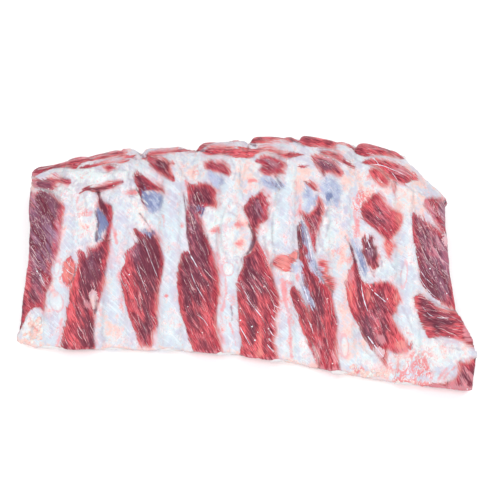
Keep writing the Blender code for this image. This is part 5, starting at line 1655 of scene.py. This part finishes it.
def lay_lump(shape, point, normal, half_width, dent_seed):
    """An uneven flattened lump, sunk a little into the skin."""
    made = bmesh.ops.create_icosphere(shape, subdivisions=2, radius=half_width)["verts"]
    turn = Vector((0, 0, 1)).rotation_difference(normal).to_matrix()
    for vertex in made:
        dent = 1 + LUMP_DENT * noise.noise(vertex.co / half_width + Vector((dent_seed, 0, 0)))
        flat = Vector((vertex.co.x, vertex.co.y, vertex.co.z * LUMP_FLATNESS)) * dent
        vertex.co = point + turn @ flat - normal * (half_width * LUMP_SINK)


def bent_line(start, slope, length, bend, steps):
    """Points in pixels along a slightly bent line."""
    line = []
    for n in range(steps + 1):
        share = n / steps
        turn = slope + bend * (share - 0.5) + STRAND_WAVE * noise.noise(Vector((*start, share * 4.0)))
        run = length * share
        line.append((start[0] + math.cos(turn) * run, start[1] + math.sin(turn) * run))
    return line


def box_round(outline):
    """(low corner, high corner, area) in pixels of the box round an outline."""
    edge = smooth_line(outline, closed=True)
    low, high = edge.min(0), edge.max(0)
    return low, high, float(np.prod(high - low))


def strand_lines(settings):
    """(line, thickness share) of every strand, at random places inside the lean meat."""
    draw = random.Random(STRAND_SEED)
    lines = []
    for slope, outline in LEAN.values():
        low, high, area = box_round(outline)
        for _try in range(int(area / 1000.0 * settings.strands)):
            start = (draw.uniform(low[0], high[0]), draw.uniform(low[1], high[1]))
            length = draw.uniform(*STRAND_LENGTHS)
            turn = math.radians(slope) + draw.gauss(0.0, STRAND_STRAY)
            line = bent_line(start, turn, length, draw.gauss(0.0, STRAND_BEND), 3 + int(length / 4))
            share = draw.uniform(*STRAND_SHARES)
            if inside_distance(np.array(line), outline).min() > -STRAND_OVERRUN:
                lines.append((line, share))
    return lines


def lay_on_meat(name, shape, finish):
    """A finished piece that lies on the meat and moves with it."""
    piece = make_piece(name, shape, [finish])
    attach(piece, "root")


# ---------------------------------------------------------------- operators
class RIBS_OT_slab_skin(bpy.types.Operator):
    """Builds the meat with its fat and membranes, in place of the plain solid"""

    bl_idname = "ribs.slab_skin"
    bl_label = "Slab skin"

    def execute(self, context):
        settings = context.scene.rib_slab
        skin = Skin()
        skin.carve(settings.relief)
        piece = skin.make_object(skin_material(settings.lean, settings.pale))
        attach(piece, "root")
        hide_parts("meat")
        return {"FINISHED"}


class RIBS_OT_bones(bpy.types.Operator):
    """Builds the seven rib bones with their sawn ends"""

    bl_idname = "ribs.bones"
    bl_label = "Rib bones"

    def execute(self, context):
        settings = context.scene.rib_slab.bone
        finishes = [bone_material(settings), marrow_material(settings)]
        for rib in range(1, RIB_COUNT + 1):
            piece = make_bone(rib, settings, finishes)
            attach(piece, "root")
            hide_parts(f"rib_bone_{rib}")
        return {"FINISHED"}


class RIBS_OT_strands(bpy.types.Operator):
    """Lays thin white strands along the fibres of the lean meat"""

    bl_idname = "ribs.strands"
    bl_label = "Strands"

    def execute(self, context):
        settings = context.scene.rib_slab.strand
        surface = Surface()
        shape = bmesh.new()
        for line, share in strand_lines(settings):
            half = settings.thickness * share
            lay_tube(shape, surface, line, half, half * STRAND_FLATNESS, STRAND_SIDES, STRAND_SINK)
        bmesh.ops.recalc_face_normals(shape, faces=shape.faces)
        finish = tissue_material("white_strands", settings.colour, settings.stain)
        lay_on_meat("lean_strands", shape, finish)
        return {"FINISHED"}


class RIBS_OT_sinews(bpy.types.Operator):
    """Lays the broad white sinews over the meat"""

    bl_idname = "ribs.sinews"
    bl_label = "Sinews"

    def execute(self, context):
        settings = context.scene.rib_slab.strand
        surface = Surface()
        shape = bmesh.new()
        for half_width, points in SINEWS:
            line = [tuple(point) for point in smooth_line(points, closed=False)]
            height = min(half_width * SINEW_HEIGHT, SINEW_TALLEST) * MM
            lay_tube(shape, surface, line, half_width * SINEW_WIDTH * MM, height, SINEW_SIDES, SINEW_SINK)
        bmesh.ops.recalc_face_normals(shape, faces=shape.faces)
        finish = tissue_material("white_sinew", settings.sinew, settings.sinew_stain)
        lay_on_meat("sinews", shape, finish)
        return {"FINISHED"}


class RIBS_OT_lumps(bpy.types.Operator):
    """Sets the lumps of fat along the edges"""

    bl_idname = "ribs.lumps"
    bl_label = "Lumps of fat"

    def execute(self, context):
        settings = context.scene.rib_slab.pale
        surface = Surface()
        draw = random.Random(LUMP_SEED)
        shape = bmesh.new()
        for x, y, half_width, half_height, how_many, lump in CLUSTERS:
            for _lump in range(how_many):
                side, down = draw.uniform(-1, 1), draw.uniform(-1, 1)
                found = surface.at(x + side * half_width, y + down * half_height)
                if found:
                    half = lump * draw.uniform(*LUMP_SHARES) * MM
                    lay_lump(shape, *found, half, draw.uniform(*DENT_SEEDS))
        lay_on_meat("fat_lumps", shape, tissue_material("peach_fat", settings.warm, settings.cream))
        return {"FINISHED"}


class RIBS_OT_flecks(bpy.types.Operator):
    """Scatters small white flecks over the lean meat: specks of fat, and painted glints of its wet shine"""

    bl_idname = "ribs.flecks"
    bl_label = "Flecks"

    def execute(self, context):
        settings = context.scene.rib_slab
        surface = Surface()
        draw = random.Random(FLECK_SEED)
        shape = bmesh.new()
        for _slope, outline in LEAN.values():
            low, high, area = box_round(outline)
            for _fleck in range(round(area / 1000.0 * settings.strand.flecks)):
                spot = (draw.uniform(low[0], high[0]), draw.uniform(low[1], high[1]))
                found = surface.at(*spot)
                if found and inside_distance(np.array([spot]), outline)[0] > FLECK_FROM_EDGE:
                    half = draw.uniform(*FLECK_SIZES) * MM
                    lay_lump(shape, *found, half, draw.uniform(*DENT_SEEDS))
        # The flecks are specks of fat and painted glints, in the white of shine.
        finish = tissue_material("white_flecks_and_glints", settings.pale.shine, settings.pale.warm)
        lay_on_meat("fat_flecks", shape, finish)
        return {"FINISHED"}


class RIBS_OT_stage(bpy.types.Operator):
    """Lays the pale floor, lights it softly and sets the camera"""

    bl_idname = "ribs.stage"
    bl_label = "Stage"

    def execute(self, context):
        settings = context.scene.rib_slab.stage
        shape = bmesh.new()
        bmesh.ops.create_grid(shape, x_segments=1, y_segments=1, size=settings.floor_size / 2)
        recipe = Recipe("pale_floor")
        grain = recipe.noise(in_mm(recipe), (300.0, 300.0, 300.0), 1.0)
        shade = recipe.mix(grain * 0.1, settings.floor_colour, settings.floor_grain)
        floor = make_piece("floor", shape, [recipe.finish(shade, 0.6, grain, 0.01 * MM, {})])
        self.lamp("key", settings.key_power, KEY_SIDE, KEY_PLACE)
        self.lamp("fill", settings.fill_power, FILL_SIDE, FILL_PLACE)
        self.room(settings.room_strength)
        self.camera()
        context.scene.view_settings.view_transform = "Standard"
        return {"FINISHED"}

    def lamp(self, name, power, side, place):
        """A square soft lamp that points at the slab."""
        data = bpy.data.lights.new(name, "AREA")
        data.energy = power
        data.size = side
        lamp = bpy.data.objects.new(name, data)
        lamp.location = place
        lamp.rotation_euler = Vector(place).to_track_quat("Z", "Y").to_euler()
        bpy.context.scene.collection.objects.link(lamp)

    def room(self, strength):
        """Even white light from all round."""
        world = bpy.data.worlds.new("room")
        world.use_nodes = True
        background = world.node_tree.nodes["Background"]
        background.inputs["Color"].default_value = (*ROOM_COLOUR, 1.0)
        background.inputs["Strength"].default_value = strength
        bpy.context.scene.world = world

    def camera(self):
        """The camera at the height and distance that the drawing's pixels are measured from."""
        data = bpy.data.cameras.new("camera")
        data.lens = VIEW_LENS
        data.sensor_width = VIEW_SENSOR
        camera = bpy.data.objects.new("camera", data)
        camera.location = VIEW_PLACE * MM
        camera.rotation_euler = VIEW_BACK.to_track_quat("Z", "Y").to_euler()
        bpy.context.scene.collection.objects.link(camera)
        bpy.context.scene.camera = camera


class RIBS_PT_panel(bpy.types.Panel):
    """Lists the pieces of the slab and its stage"""

    bl_idname = "RIBS_PT_panel"
    bl_label = "Slab of ribs"
    bl_space_type = "VIEW_3D"
    bl_region_type = "UI"
    bl_category = "Ribs"

    def draw(self, context):
        for step in STEPS:
            self.layout.operator(step.bl_idname)


STEPS = (
    RIBS_OT_slab_skin,
    RIBS_OT_bones,
    RIBS_OT_strands,
    RIBS_OT_sinews,
    RIBS_OT_lumps,
    RIBS_OT_flecks,
    RIBS_OT_stage,
)
CLASSES = (
    ReliefSettings,
    LeanSettings,
    PaleSettings,
    BoneSettings,
    StrandSettings,
    StageSettings,
    SlabSettings,
    *STEPS,
    RIBS_PT_panel,
)


def register():
    """Makes the settings, the operators and the panel known to Blender."""
    for kind in CLASSES:
        bpy.utils.register_class(kind)
    bpy.types.Scene.rib_slab = bpy.props.PointerProperty(type=SlabSettings)


def unregister():
    """Takes them out again."""
    del bpy.types.Scene.rib_slab
    for kind in reversed(CLASSES):
        bpy.utils.unregister_class(kind)


def main():
    """Builds every piece and the stage."""
    register()
    for step in STEPS:
        group, name = step.bl_idname.split(".")
        getattr(getattr(bpy.ops, group), name)()


if __name__ == "__main__":
    main()
